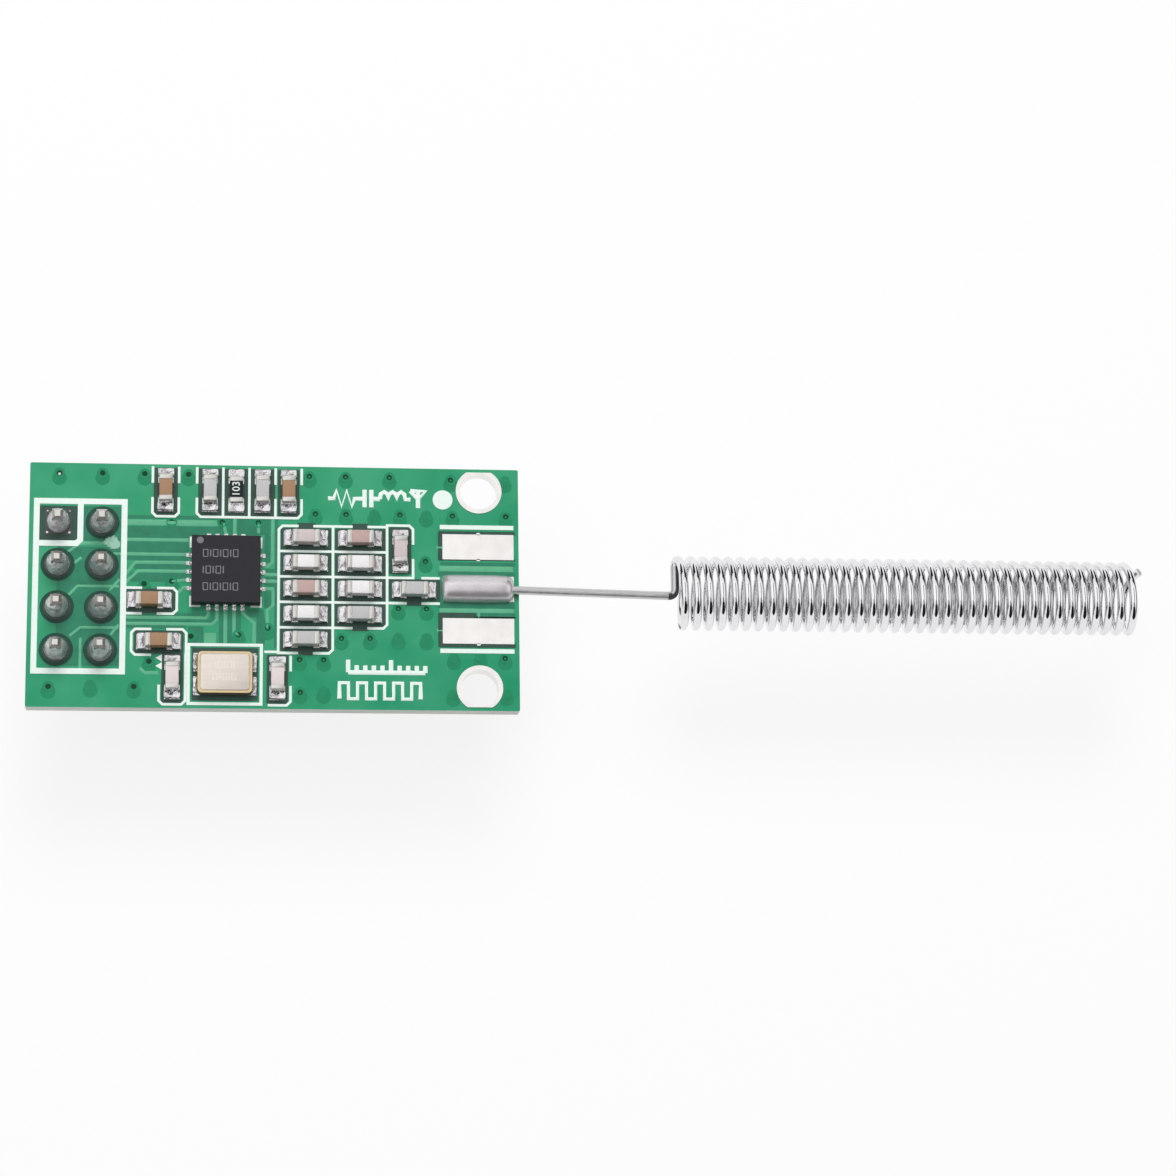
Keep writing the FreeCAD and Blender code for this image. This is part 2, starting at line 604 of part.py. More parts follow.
def many_sided(radius, height, sides=JOINT_SIDES):
    """A closed many-sided ring at a height, as round as its sides allow."""
    turns = [2 * math.pi * (side + 0.5) / sides for side in range(sides + 1)]
    reach = radius / math.cos(math.pi / sides)
    return Part.makePolygon([
        Vector(reach * math.cos(turn), reach * math.sin(turn), height) for turn in turns
    ])


def make_header_metal():
    """A ring land and a solder cone round each header pin; the first pin's land is square."""
    copper, side = number("sizes.land_thickness"), number("sizes.pin_side")
    drill = Part.Face(many_sided(number("sizes.header_hole / 2"), 0, HOLE_SIDES))
    drill = drill.extrude(Vector(0, 0, copper))
    wide = number("sizes.header_land")
    ring = Part.Face(many_sided(wide / 2, 0)).extrude(Vector(0, 0, copper)).cut(drill)
    square = Part.makeBox(wide, wide, copper, Vector(-wide / 2, -wide / 2, 0)).cut(drill)
    foot, top = number("sizes.header_joint_foot / 2"), number("sizes.header_joint_top / 2")
    bare = "sizes.land_thickness - sizes.header_joint_show"
    rise = number(f"sizes.pin_head - sizes.board_thickness - {bare}")
    middle = waist(Vector(foot, 0, 0), Vector(top, 0, 0), Vector(top, 0, rise))
    sections = [many_sided(foot, 0), many_sided(middle.x, middle.z), many_sided(top, rise)]
    cone = Part.makeLoft(sections, True, True)
    cone = cone.cut(Part.makeBox(side, side, rise, Vector(-side / 2, -side / 2, 0)))
    lands, joints = [], []
    for place_number, (across, up) in enumerate(PIN_PLACES):
        spot = (number(across), number(up))
        lands.append(moved(ring if place_number else square, *spot, number(DECK)))
        joints.append(moved(cone, *spot, number(LAND_TOP)))
    return [group("header_lands", lands), group("header_solder", joints)]


def make_edge_metal():
    """Three lands at the antenna edge, with the outer two on the underside as well."""
    length, width = number("sizes.edge_land_length"), number("sizes.edge_land_width")
    copper, pitch = number("sizes.land_thickness"), number("sizes.edge_land_pitch")
    middle = number(BOARD_MIDDLE)
    low = number(f"{UNDERSIDE} - sizes.land_thickness")

    def land(up, height):
        return Part.makeBox(length, width, copper, Vector(number(EDGE_LAND_X), up - width / 2, height))
    ground = [land(middle + side * pitch, height) for side in (1, -1) for height in (number(DECK), low)]
    return [group("edge_ground_lands", ground), group("antenna_land", [land(middle, number(DECK))])]


def make_mount_rings():
    """Plated mounting holes: a thin barrel with a flange on each face, flat at the long edge."""
    bore, wall = number("sizes.mount_hole / 2"), number("sizes.mount_plating")
    flange, copper = number("sizes.mount_ring / 2"), number("sizes.land_thickness")
    low, high = number(UNDERSIDE), number(DECK)
    flat = number("sizes.mount_inset_y - sizes.mount_ring_margin")
    rings = []
    for up, outward in ((MOUNT_TOP, 1), (MOUNT_BOTTOM, -1)):
        barrel = Part.makeCylinder(bore + wall, high - low, Vector(0, 0, low))
        faces = [
            Part.makeCylinder(flange, copper, Vector(0, 0, height)) for height in (low - copper, high)
        ]
        keep = Part.makeBox(2 * flange, flange + flat, high - low + 2 * copper,
                            Vector(-flange, -flange, low - copper))
        if outward < 0:
            keep = keep.mirror(Vector(0, 0, 0), Vector(0, 1, 0))
        drill = Part.makeCylinder(bore, high - low + 2 * copper, Vector(0, 0, low - copper))
        ring = barrel.multiFuse([face.common(keep) for face in faces]).cut(drill).removeSplitter()
        rings.append(moved(ring, number(MOUNT_X), number(up), 0))
    return group("mounting_hole_rings", rings)


def rounded(before, corner, after, run, steps):
    """Points on the arc that rounds a corner, from a run before it to a run after it."""
    back = (before - corner).normalize()
    onward = (after - corner).normalize()
    half = back.getAngle(onward) / 2
    inward = (back + onward).normalize()
    middle = corner + inward * (run / math.cos(half) - run * math.tan(half))
    arc = Part.Arc(corner + back * run, middle, corner + onward * run).toShape()
    return arc.discretize(steps + 1)


def antenna_path():
    """The antenna wire's middle line: solder, lead, upright, coil and sprung tail."""
    level = number(f"{LAND_TOP} + sizes.wire_lift + sizes.wire_diameter / 2")
    line = number(f"{BOARD_MIDDLE} + sizes.wire_offset")
    exit_x = number(f"{EDGE_LAND_X} + sizes.edge_land_length")
    axis = Vector(number(f"{BOARD_RIGHT} + sizes.lead_reach"),
                  number(f"{BOARD_MIDDLE} + sizes.coil_offset"),
                  number(f"{DECK} - sizes.coil_drop"))
    radius, pitch = number("sizes.coil_diameter / 2"), number("sizes.coil_pitch")
    entry = number("sizes.coil_entry")
    first_angle = math.asin(entry / radius)
    last_angle = math.radians(360 * number("sizes.coil_turns") + number("sizes.coil_last_turn"))

    sprung_arc = math.pi / 3

    def on_coil(angle):
        sprung = max(0.0, angle - (last_angle - sprung_arc)) / sprung_arc
        tail = number("sizes.coil_tail") * sprung ** 2
        along = number("sizes.coil_shift") + pitch * angle / (2 * math.pi) + tail
        return axis + Vector(along, radius * math.cos(angle), radius * math.sin(angle))
    start = Vector(exit_x - number("sizes.wire_seat"), line, level)
    exit_point = Vector(exit_x, line, level)
    knee = Vector(axis.x, line, axis.z)
    crest = Vector(axis.x, axis.y + radius / math.cos(first_angle), axis.z)
    bend = number("sizes.coil_bend")
    points = [start, exit_point]
    points += rounded(exit_point, knee, crest, bend, 3)
    tangent = on_coil(first_angle)
    points += rounded(knee, crest, tangent, (tangent - crest).Length, 4)
    steps_per_turn = 12
    step = 2 * math.pi / steps_per_turn
    angle = first_angle + step
    while angle < last_angle - step / 2:
        points.append(on_coil(angle))
        angle += step
    points.append(on_coil(last_angle))
    return points


def wire_section(start, flat_width):
    """A six-sided section across X, with flats above and below."""
    reach = flat_width / 2 / math.cos(math.pi / 6)
    corners = [math.pi / 3 * side for side in range(7)]
    return Part.makePolygon([
        start + Vector(0, reach * math.cos(angle), reach * math.sin(angle)) for angle in corners
    ])


def make_antenna():
    """One length of wire, swept with mitred turns along its middle line."""
    points = antenna_path()
    sweep = Part.BRepOffsetAPI.MakePipeShell(Part.makePolygon(points))
    mitred_corners = 1
    sweep.setTransitionMode(mitred_corners)
    sweep.setFrenetMode(False)
    sweep.add(wire_section(points[0], number("sizes.wire_diameter")))
    sweep.build()
    sweep.makeSolid()
    return group("antenna", [sweep.shape()])


def make_antenna_solder():
    """The solder hump that buries the end of the antenna wire on its land."""
    inset = number("sizes.antenna_solder_inset")
    length = number("sizes.edge_land_length") - 2 * inset
    half, rise = number("sizes.antenna_solder_width / 2"), number("sizes.antenna_solder_height")
    end = number("sizes.antenna_solder_round")
    middle = Vector(number(EDGE_LAND_X) + inset, number(BOARD_MIDDLE), number(LAND_TOP))

    def arch(along, share):
        corners = [Vector(along, half * share * math.cos(angle), rise * share * math.sin(angle))
                   for angle in (math.pi / 6 * side for side in range(7))]
        return Part.makePolygon([middle + corner for corner in corners + corners[:1]])
    low, shoulder = 0.45, 0.85
    sections = [arch(0, low), arch(end / 3, shoulder), arch(end, 1),
                arch(length - end, 1), arch(length - end / 3, shoulder), arch(length, low)]
    hump = Part.makeLoft(sections, True, True)
    start = antenna_path()[0]
    channel = Part.Face(wire_section(start, number("sizes.wire_diameter")))
    return group("antenna_solder", [hump.cut(channel.extrude(Vector(2 * length, 0, 0)))])


def printed_line(points, width, closed=False):
    """A flat line of ink along points, with mitred corners and square ends."""
    spots = [Vector(across, up, 0) for across, up in points]
    count = len(spots)
    left, right = [], []
    for index, spot in enumerate(spots):
        before = spots[index - 1] if closed or index else None
        after = spots[(index + 1) % count] if closed or index < count - 1 else None
        arriving = (spot - before).normalize() if before else (after - spot).normalize()
        leaving = (after - spot).normalize() if after else arriving
        across = Vector(-arriving.y - leaving.y, arriving.x + leaving.x, 0).normalize()
        reach = width / 2 / across.dot(Vector(-arriving.y, arriving.x, 0))
        left.append(spot + across * reach)
        right.append(spot - across * reach)
    if not closed:
        return Part.Face(Part.makePolygon(left + right[::-1] + left[:1]))
    rims = [Part.Face(Part.makePolygon(side + side[:1])) for side in (left, right)]
    wide, narrow = sorted(rims, key=lambda face: -face.Area)
    return wide.cut(narrow)


def cell_sides(middle_x, middle_y, turned):
    """Left, right, bottom and top of the printed box round a chip."""
    half_x, half_y = number(f"{CELL_LENGTH} / 2"), number(f"{CELL_WIDTH} / 2")
    if turned:
        half_x, half_y = half_y, half_x
    return middle_x - half_x, middle_x + half_x, middle_y - half_y, middle_y + half_y


def header_lines():
    """A box round the pins and a square round the first of them."""
    pitch, bevel = number("sizes.pin_pitch"), number("sizes.legend_corner")
    width = number("sizes.legend_header_line")
    box = [(-pitch, -2 * pitch), (pitch, -2 * pitch), (pitch, 2 * pitch), (-pitch, 2 * pitch)]
    first = [(0, 2 * pitch), (0, pitch + bevel), (-bevel, pitch), (-pitch, pitch)]
    return [printed_line(box, width, closed=True), printed_line(first, width)]


def top_row_lines():
    """Boxes that are open at the top, round the single chip and the row of four."""
    width, bevel = number("sizes.legend_line"), number("sizes.legend_corner")
    gap, middle = number("sizes.legend_gap / 2"), number(TOP_ROW_Y)
    cell = number(CELL_WIDTH)
    row = number(ROW_LEFT)
    bottom, top = cell_sides(0, middle, True)[2:]
    lines = []
    alone_left = number(f"{ROW_ALONE_X} - {CELL_WIDTH} / 2")
    for left, right in ((alone_left, alone_left + cell), (row, row + 4 * cell)):
        lines.append([
            (left, middle - gap), (left, bottom + bevel), (left + bevel, bottom),
            (right - bevel, bottom), (right, bottom + bevel), (right, middle - gap),
        ])
        lines.append([(left, middle + gap), (left, top - width)])
        lines.append([(right, middle + gap), (right, top - width)])
    for split in (1, 2):
        lines.append([(row + split * cell, bottom), (row + split * cell, top - width)])
    lines.append([(row + 3 * cell, bottom), (row + 3 * cell, middle - gap)])
    lines.append([(row + 3 * cell, middle + gap), (row + 3 * cell, top - width)])
    return [printed_line(points, width) for points in lines]


def network_lines():
    """Two columns of boxes and the two odd boxes on their right."""
    width, bevel = number("sizes.legend_line"), number("sizes.legend_corner")
    gap, long, wide = number("sizes.legend_gap / 2"), number(CELL_LENGTH), number(CELL_WIDTH)
    left, top = number(NETWORK_X), number(NETWORK_Y)
    centre, right = left + long, left + 2 * long
    far, tall = right + wide, top - 2 * wide + long
    rows = [top - row * wide for row in range(6)]
    first, second, third = left + long / 2, centre + long / 2, right + long / 2
    lines = [
        [(left, rows[5]), (left, top - bevel), (left + bevel, top), (first - gap, top)],
        [(first + gap, top), (second - gap, top)],
        [(second + gap, top), (right, top)],
        [(left, rows[1]), (right, rows[1])],
        [(left, rows[2]), (far, rows[2])],
        [(left, rows[3]), (third - gap, rows[3])],
        [(third + gap, rows[3]), (right + long - width / 2, rows[3])],
        [(third + gap, rows[2]), (right + long - width / 2, rows[2])],
        [(left, rows[4]), (second - gap, rows[4])],
        [(second + gap, rows[4]), (right - bevel, rows[4]), (right, rows[4] + bevel),
         (right, tall)],
        [(left - width / 2, rows[5]), (first - gap, rows[5])],
        [(first + gap, rows[5]), (centre - bevel, rows[5]), (centre, rows[5] + bevel),
         (centre, top)],
        [(right - width / 2, tall), (far - bevel, tall), (far, tall - bevel),
         (far, tall - long / 2 + gap)],
        [(far, tall - long / 2 - gap), (far, rows[2] - width / 2)],
    ]
    return [printed_line(points, width) for points in lines]


def supply_and_load_lines():
    """Boxes of the chips between the header and the crystal, some of which share a side."""
    width, bevel = number("sizes.legend_line"), number("sizes.legend_corner")
    gap, header = number("sizes.legend_gap / 2"), number("sizes.pin_pitch")
    supply_x, drop = number(SUPPLY_X), number(SUPPLY_1_Y)
    right, bottom, top = cell_sides(supply_x, drop, False)[1:]
    lines = [
        [(header, top), (supply_x - gap, top)],
        [(supply_x + gap, top), (right - bevel, top), (right, top - bevel),
         (right, bottom + bevel), (right - bevel, bottom), (supply_x + gap, bottom)],
        [(supply_x - gap, bottom), (header, bottom)],
    ]
    step_x = supply_x + number("sizes.supply_step")
    left, step_right, bottom, top = cell_sides(step_x, number(SUPPLY_2_Y), False)
    lines.append([
        (step_x - gap, top), (left + bevel, top), (left, top - bevel), (left, bottom + bevel),
        (left + bevel, bottom), (step_x - gap, bottom),
    ])
    load_x, load_y = number(f"{TRANSCEIVER_X} - {LOAD_STEP}"), number(LOAD_Y)
    left, right, low = cell_sides(load_x, load_y, True)[:3]
    lines.append([
        (left, load_y - gap), (left, low + bevel), (left + bevel, low), (right - bevel, low),
        (right, low + bevel), (right, bottom), (step_right, bottom + bevel),
        (step_right, top - bevel), (step_right - bevel, top), (step_x + gap, top),
    ])
    load_x = number(f"{TRANSCEIVER_X} + {LOAD_STEP}")
    left, right, low, high = cell_sides(load_x, load_y, True)
    lines.append([(left, high), (load_x, high)])
    lines.append([(right, high - bevel), (right, load_y + gap)])
    lines.append([
        (right, load_y - gap), (right, low + bevel), (right - bevel, low), (left + bevel, low),
    ])
    return [printed_line(points, width) for points in lines]


def package_lines():
    """Four corners round the package and a box round the crystal."""
    middle_x, middle_y = number(TRANSCEIVER_X), number(TRANSCEIVER_Y)
    width, arm = number("sizes.legend_package_line"), number("sizes.legend_package_arm")
    out = number("sizes.transceiver_side / 2 + sizes.legend_package_gap")
    faces = []
    for side in (-1, 1):
        for rise in (-1, 1):
            corner = [(side * (out - arm), rise * out), (side * out, rise * out),
                      (side * out, rise * (out - arm))]
            spots = [(middle_x + across, middle_y + up) for across, up in corner]
            faces.append(printed_line(spots, width))
    half_x = number("sizes.crystal_length / 2 + sizes.legend_crystal_gap")
    half_y = number("sizes.crystal_width / 2 + sizes.legend_crystal_gap")
    low, high = number(CRYSTAL_Y) - half_y, number(CRYSTAL_Y) + half_y
    box = [(middle_x - half_x, low), (middle_x + half_x, low), (middle_x + half_x, high),
           (middle_x - half_x, high)]
    faces.append(printed_line(box, number("sizes.legend_crystal_line"), closed=True))
    return faces


def edge_lines():
    """A line beside each ground land and a round mark beside the mounting hole."""
    width, middle = number("sizes.legend_edge_line"), number(BOARD_MIDDLE)
    left = number(f"{EDGE_LAND_X} - sizes.legend_line")
    right = number(f"{EDGE_LAND_X} + sizes.edge_land_length")
    out = number("sizes.edge_land_pitch + sizes.edge_land_width / 2 + sizes.legend_edge_gap")
    faces = [printed_line([(left, middle + out), (right, middle + out)], width),
             printed_line([(left, middle - out), (right, middle - out)], width)]
    spot = Vector(number(f"{MOUNT_X} - sizes.legend_dot_x"),
                  number(f"{MOUNT_TOP} - sizes.legend_dot_y"), 0)
    faces.append(Part.Face(Part.Wire(Part.makeCircle(number("sizes.legend_dot / 2"), spot))))
    return faces


def make_legend():
    """All printed ink as one thin layer on the board."""
    faces = header_lines() + top_row_lines() + network_lines()
    faces += supply_and_load_lines() + package_lines() + edge_lines()
    depth = Vector(0, 0, number("sizes.legend_thickness"))
    bars = [face.extrude(depth) for face in faces]
    ink = bars[0].multiFuse(bars[1:]).removeSplitter()
    return group("legend", [moved(solid, 0, 0, number(DECK)) for solid in ink.Solids])


nodes = [make_board(), make_mount_rings(), *make_header_metal(), *make_edge_metal(), make_legend()]
nodes += [make_chip_lands(), make_chip_solder()]
nodes += [make_transceiver(), *make_transceiver_metal(), *make_crystal(), *make_crystal_metal()]
nodes += [make_chip(*chip) for chip in CHIPS]
nodes += [make_insulator()]
nodes += [make_pin(f"header_pin_{place}", *spot) for place, spot in enumerate(PIN_PLACES, start=1)]
nodes += [make_antenna(), make_antenna_solder()]
doc.recompute()

for item in doc.Objects:
    if "Invalid" in item.State or "Error" in item.State:
        raise RuntimeError(f"{item.Label} did not recompute: {item.State}")
os.makedirs("parts", exist_ok=True)
for node in nodes:
    if node.Shape.isNull() or not node.Shape.isValid() or node.Shape.Volume <= 0:
        raise RuntimeError(f"{node.Label} has no sound shape")
    node.Shape.exportStep(f"parts/{node.Label}.step")
print(len(nodes), "nodes")
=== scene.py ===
import math

import bmesh
import bpy
from bpy.props import FloatProperty, FloatVectorProperty, IntProperty, PointerProperty
from mathutils import Matrix, Vector


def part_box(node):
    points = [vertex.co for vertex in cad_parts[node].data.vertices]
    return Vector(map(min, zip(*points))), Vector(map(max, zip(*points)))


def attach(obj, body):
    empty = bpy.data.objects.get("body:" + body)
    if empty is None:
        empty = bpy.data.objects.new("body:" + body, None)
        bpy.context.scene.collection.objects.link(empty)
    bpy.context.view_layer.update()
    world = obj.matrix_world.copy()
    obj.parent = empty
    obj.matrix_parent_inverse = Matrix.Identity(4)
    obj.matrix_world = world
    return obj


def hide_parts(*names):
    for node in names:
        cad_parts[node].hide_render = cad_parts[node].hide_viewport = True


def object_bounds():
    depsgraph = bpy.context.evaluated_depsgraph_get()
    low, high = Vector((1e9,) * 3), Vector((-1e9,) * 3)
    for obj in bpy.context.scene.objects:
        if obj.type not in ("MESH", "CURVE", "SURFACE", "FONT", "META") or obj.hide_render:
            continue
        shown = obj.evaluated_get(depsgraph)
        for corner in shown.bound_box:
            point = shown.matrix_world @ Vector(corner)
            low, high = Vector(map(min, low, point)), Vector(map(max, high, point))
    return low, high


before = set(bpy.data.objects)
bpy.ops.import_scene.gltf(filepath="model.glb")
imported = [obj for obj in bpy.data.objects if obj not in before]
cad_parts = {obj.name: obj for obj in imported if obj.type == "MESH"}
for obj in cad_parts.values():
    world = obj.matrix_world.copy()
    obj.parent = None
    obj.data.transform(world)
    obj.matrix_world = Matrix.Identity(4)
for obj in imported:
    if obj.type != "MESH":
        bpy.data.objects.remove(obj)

bl_info = {
    "name": "Radio module dressing",
    "version": (1, 0, 0),
    "blender": (4, 5, 0),
    "location": "3D View > Sidebar > Radio Module",
    "description": "Dresses the solid radio transceiver module with its tracks, chips, solder and spring",
    "category": "Object",
}

MM = 0.001
FACING = 0.9  # a face looks along an axis when its normal has this much of it
CAD_BOX = [list(corner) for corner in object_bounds()]

# Heights that several pieces share, read from the solid model.
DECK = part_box("circuit_board")[1].z / MM
LAND_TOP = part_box("header_lands")[1].z / MM
PACKAGE_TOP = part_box("transceiver_package")[1].z / MM
# The board's middle, from which vias are measured.
BOARD_X = 11.33
BOARD_Y = 0.10


def linear(code):
    """A colour written as sRGB hex, as the linear values that Blender works in."""
    values = [int(code[place:place + 2], 16) / 255 for place in (1, 3, 5)]
    values = [v / 12.92 if v <= 0.04045 else ((v + 0.055) / 1.055) ** 2.4 for v in values]
    return (*values, 1.0)


def length(name, about, size):
    """A size in millimetres, shown as a length."""
    return FloatProperty(name=name, description=about, default=size * MM, min=0.0, unit="LENGTH",
                         precision=5)


def colour(name, about, code):
    """A colour that the user may change."""
    return FloatVectorProperty(name=name, description=about, default=linear(code), size=4,
                               subtype="COLOR", min=0.0, max=1.0)


class ModuleSizes(bpy.types.PropertyGroup):
    track_width: length("Track width", "Copper tracks under the mask", 0.2)
    track_rise: length("Track rise", "How far the mask rises over a track", 0.016)
    etched_rise: length("Etched rise", "Skin that shows where copper is etched away", 0.004)
    via_width: length("Via width", "Copper ring round a via", 0.64)
    via_hole: length("Via hole", "Drilled hole of a via", 0.33)
    ink_rise: length("Ink rise", "Thickness of the printed ink", 0.03)
    stroke: length("Stroke", "Width of the printed strokes", 0.26)
    skin_step: length("Skin step", "Each etched area lies this much above the one before", 0.0002)
    cap_length: length("Cap length", "Tinned end cap of a chip component", 0.33)
    cap_round: length("Cap rounding", "Rounded edges of an end cap", 0.07)
    fillet_toe: length("Fillet toe", "Solder in front of a chip's end cap", 0.44)
    joint_foot: length("Joint foot", "Width of a header joint on its land", 1.46)
    wire: length("Wire", "Diameter of the spring wire", 0.5)
    coil: length("Coil", "Diameter of the coil, in the middle of the wire", 3.95)
    pitch: length("Pitch", "One turn of the coil to the next", 0.749)
    turns: IntProperty(name="Turns", description="Whole turns of the coil", default=36, min=1)


class ModuleColours(bpy.types.PropertyGroup):
    mask: colour("Mask on copper", "Green solder mask over the copper pour", "#30986C")
    # The mask's darker end, where the painted shade is deepest.
    mask_painted_shade: colour("Mask, lower right", "The same mask, deeper towards the lower right", "#188F65")
    etched: colour("Mask on laminate", "Mask where the copper is etched away", "#2C7C5F")
    etched_deep: colour("Mask in gaps", "Mask in the narrow gaps round the header's lands", "#1B4538")
    box_mask_and_shade: colour("Mask and shade in boxes", "Mask round the lands of the chips", "#344F45")
    track: colour("Mask on tracks", "Mask that is drawn thin over a track", "#5EAD87")
    via_shade: colour("Via shade", "Copper round a via on the lower face", "#1C855C")
    hole: colour("Via hole", "Dark inside of a via", "#053A25")
    laminate: colour("Laminate", "Sawn edge of the glass-fibre laminate", "#F0F4ED")
    ink: colour("Ink", "Printed white ink", "#EAF6F0")
    tin: colour("Tin", "Hot-air levelled tin on copper", "#EDEAE8")
    cap: colour("End caps", "Matt tin plating on the chips' ends", "#DCD9D4")
    solder: colour("Solder", "Bright reflowed solder", "#E2E0E2")
    shaded_land: colour("Shaded land", "Header lands, darkened with painted shade", "#44534B")
    joint: colour("Hand solder", "Duller solder of the hand-made joints", "#E6D9E0")
    hump: colour("Antenna solder", "Thick solder that holds the antenna", "#D4CFD3")
    epoxy: colour("Epoxy", "Black moulding compound", "#29292D")
    mark: colour("Laser mark", "Grey laser marks on the package", "#7C7C80")
    brown: colour("Brown ceramic", "Body of the larger-value capacitors", "#A48265")
    pink: colour("Pink ceramic", "Body of the small-value capacitors", "#CFC3C2")
    rust: colour("Red-brown ceramic", "Body of one filter capacitor", "#C0A4A0")
    cream: colour("Cream ceramic", "Body of the crystal's load capacitors", "#E2D7D6")
    grey: colour("Grey ceramic", "Body of the grey capacitors", "#C1C1C2")
    white: colour("White ceramic", "Body of the inductors", "#EFEDED")
    film: colour("Resistor film", "Black overglaze of the resistor", "#222225")
    tray: colour("Tray ceramic", "Fired ceramic tray of the crystal", "#5A4E46")
    gold: colour("Gold", "Gold flash on the seal ring", "#DCC79C")
    lid: colour("Lid", "Nickel plated lid", "#E6DCD3")
    plastic: colour("Plastic", "Black moulded header insulator", "#171719")
    pin: colour("Pin", "Tin plated header pins", "#D2D0CA")
    lead: colour("Grey lead", "Straight part of the wire, greyer and duller", "#D6D5D6")
    bend_shade: colour("Painted shade at the bend", "Wire at the first bend", "#565658")
    spring: colour("Spring", "Bright plated spring wire", "#EAEAEC")


def sizes():
    return bpy.context.scene.module_sizes


def colours():
    return bpy.context.scene.module_colours


# ---------------------------------------------------------------- materials

# Sockets of the colour mix, which it has only by number.
FACTOR, FIRST, SECOND, MIXED = 0, 6, 7, 2
# Noise is drawn with this roughness, and its middle part used.
GRAININESS = 0.55
# Specular level of everything that isn't metal.
DIELECTRIC = {"Specular IOR Level": 0.25}


def add(tree, kind, inputs=None, out=None, **settings):
    """Add a node; an input takes a value or the socket that feeds it. Gives the output asked for."""
    node = tree.nodes.new(kind)
    for name, value in settings.items():
        setattr(node, name, value)
    for name, value in (inputs or {}).items():
        if isinstance(value, bpy.types.NodeSocket):
            tree.links.new(value, node.inputs[name])
        else:
            node.inputs[name].default_value = value
    return node if out is None else node.outputs[out]


def blank(owner):
    """The node tree of a material or a world, emptied."""
    owner.use_nodes = True
    owner.node_tree.nodes.clear()
    return owner.node_tree


def start(name, rough, metal=0.0, **shader):
    """A material with its shader, and the object's own coordinates."""
    material = bpy.data.materials.new(name)
    tree = blank(material)
    surface = add(tree, "ShaderNodeBsdfPrincipled", {"Roughness": rough, "Metallic": metal, **shader})
    add(tree, "ShaderNodeOutputMaterial", {"Surface": surface.outputs["BSDF"]})
    return material, tree, surface, add(tree, "ShaderNodeTexCoord", out="Object")


def shade(code, share):
    """A colour, darker or lighter by a share."""
    return (*[min(1.0, value * share) for value in code[:3]], 1.0)


def grain(size):
    """The scale of a noise whose patches are about this many millimetres across."""
    return 1 / (size * MM)


def plain(name, code, rough, size, change, deep, metal=0.0, stretch=None, **shader):
    """A finish of one substance: colour, gloss and bump vary a little with one noise, whose patches
    have a size and, as a bump, a depth in millimetres."""
    if not metal:
        shader = {**DIELECTRIC, **shader}
    material, tree, surface, place = start(name, rough, metal, **shader)
    if stretch:
        place = add(tree, "ShaderNodeMapping", {"Vector": place, "Scale": stretch}, "Vector")
    patches = add(tree, "ShaderNodeTexNoise", {"Vector": place, "Scale": grain(size), "Detail": 3.0,
                                               "Roughness": GRAININESS}, "Fac")
    middle = {"Value": patches, "From Min": 0.3, "From Max": 0.7}
    share = add(tree, "ShaderNodeMapRange", middle, "Result")
    tint = add(tree, "ShaderNodeMix", {FACTOR: share, FIRST: shade(code, 1 - change),
                                       SECOND: shade(code, 1 + change)}, MIXED, data_type="RGBA")
    tree.links.new(tint, surface.inputs["Base Color"])
    gloss = add(tree, "ShaderNodeMapRange", {**middle, "To Min": max(0.02, rough - 0.05),
                                             "To Max": rough + 0.06}, "Result")
    tree.links.new(gloss, surface.inputs["Roughness"])
    if deep:
        normal = add(tree, "ShaderNodeBump", {"Height": patches, "Distance": deep * MM}, "Normal")
        tree.links.new(normal, surface.inputs["Normal"])
    return material


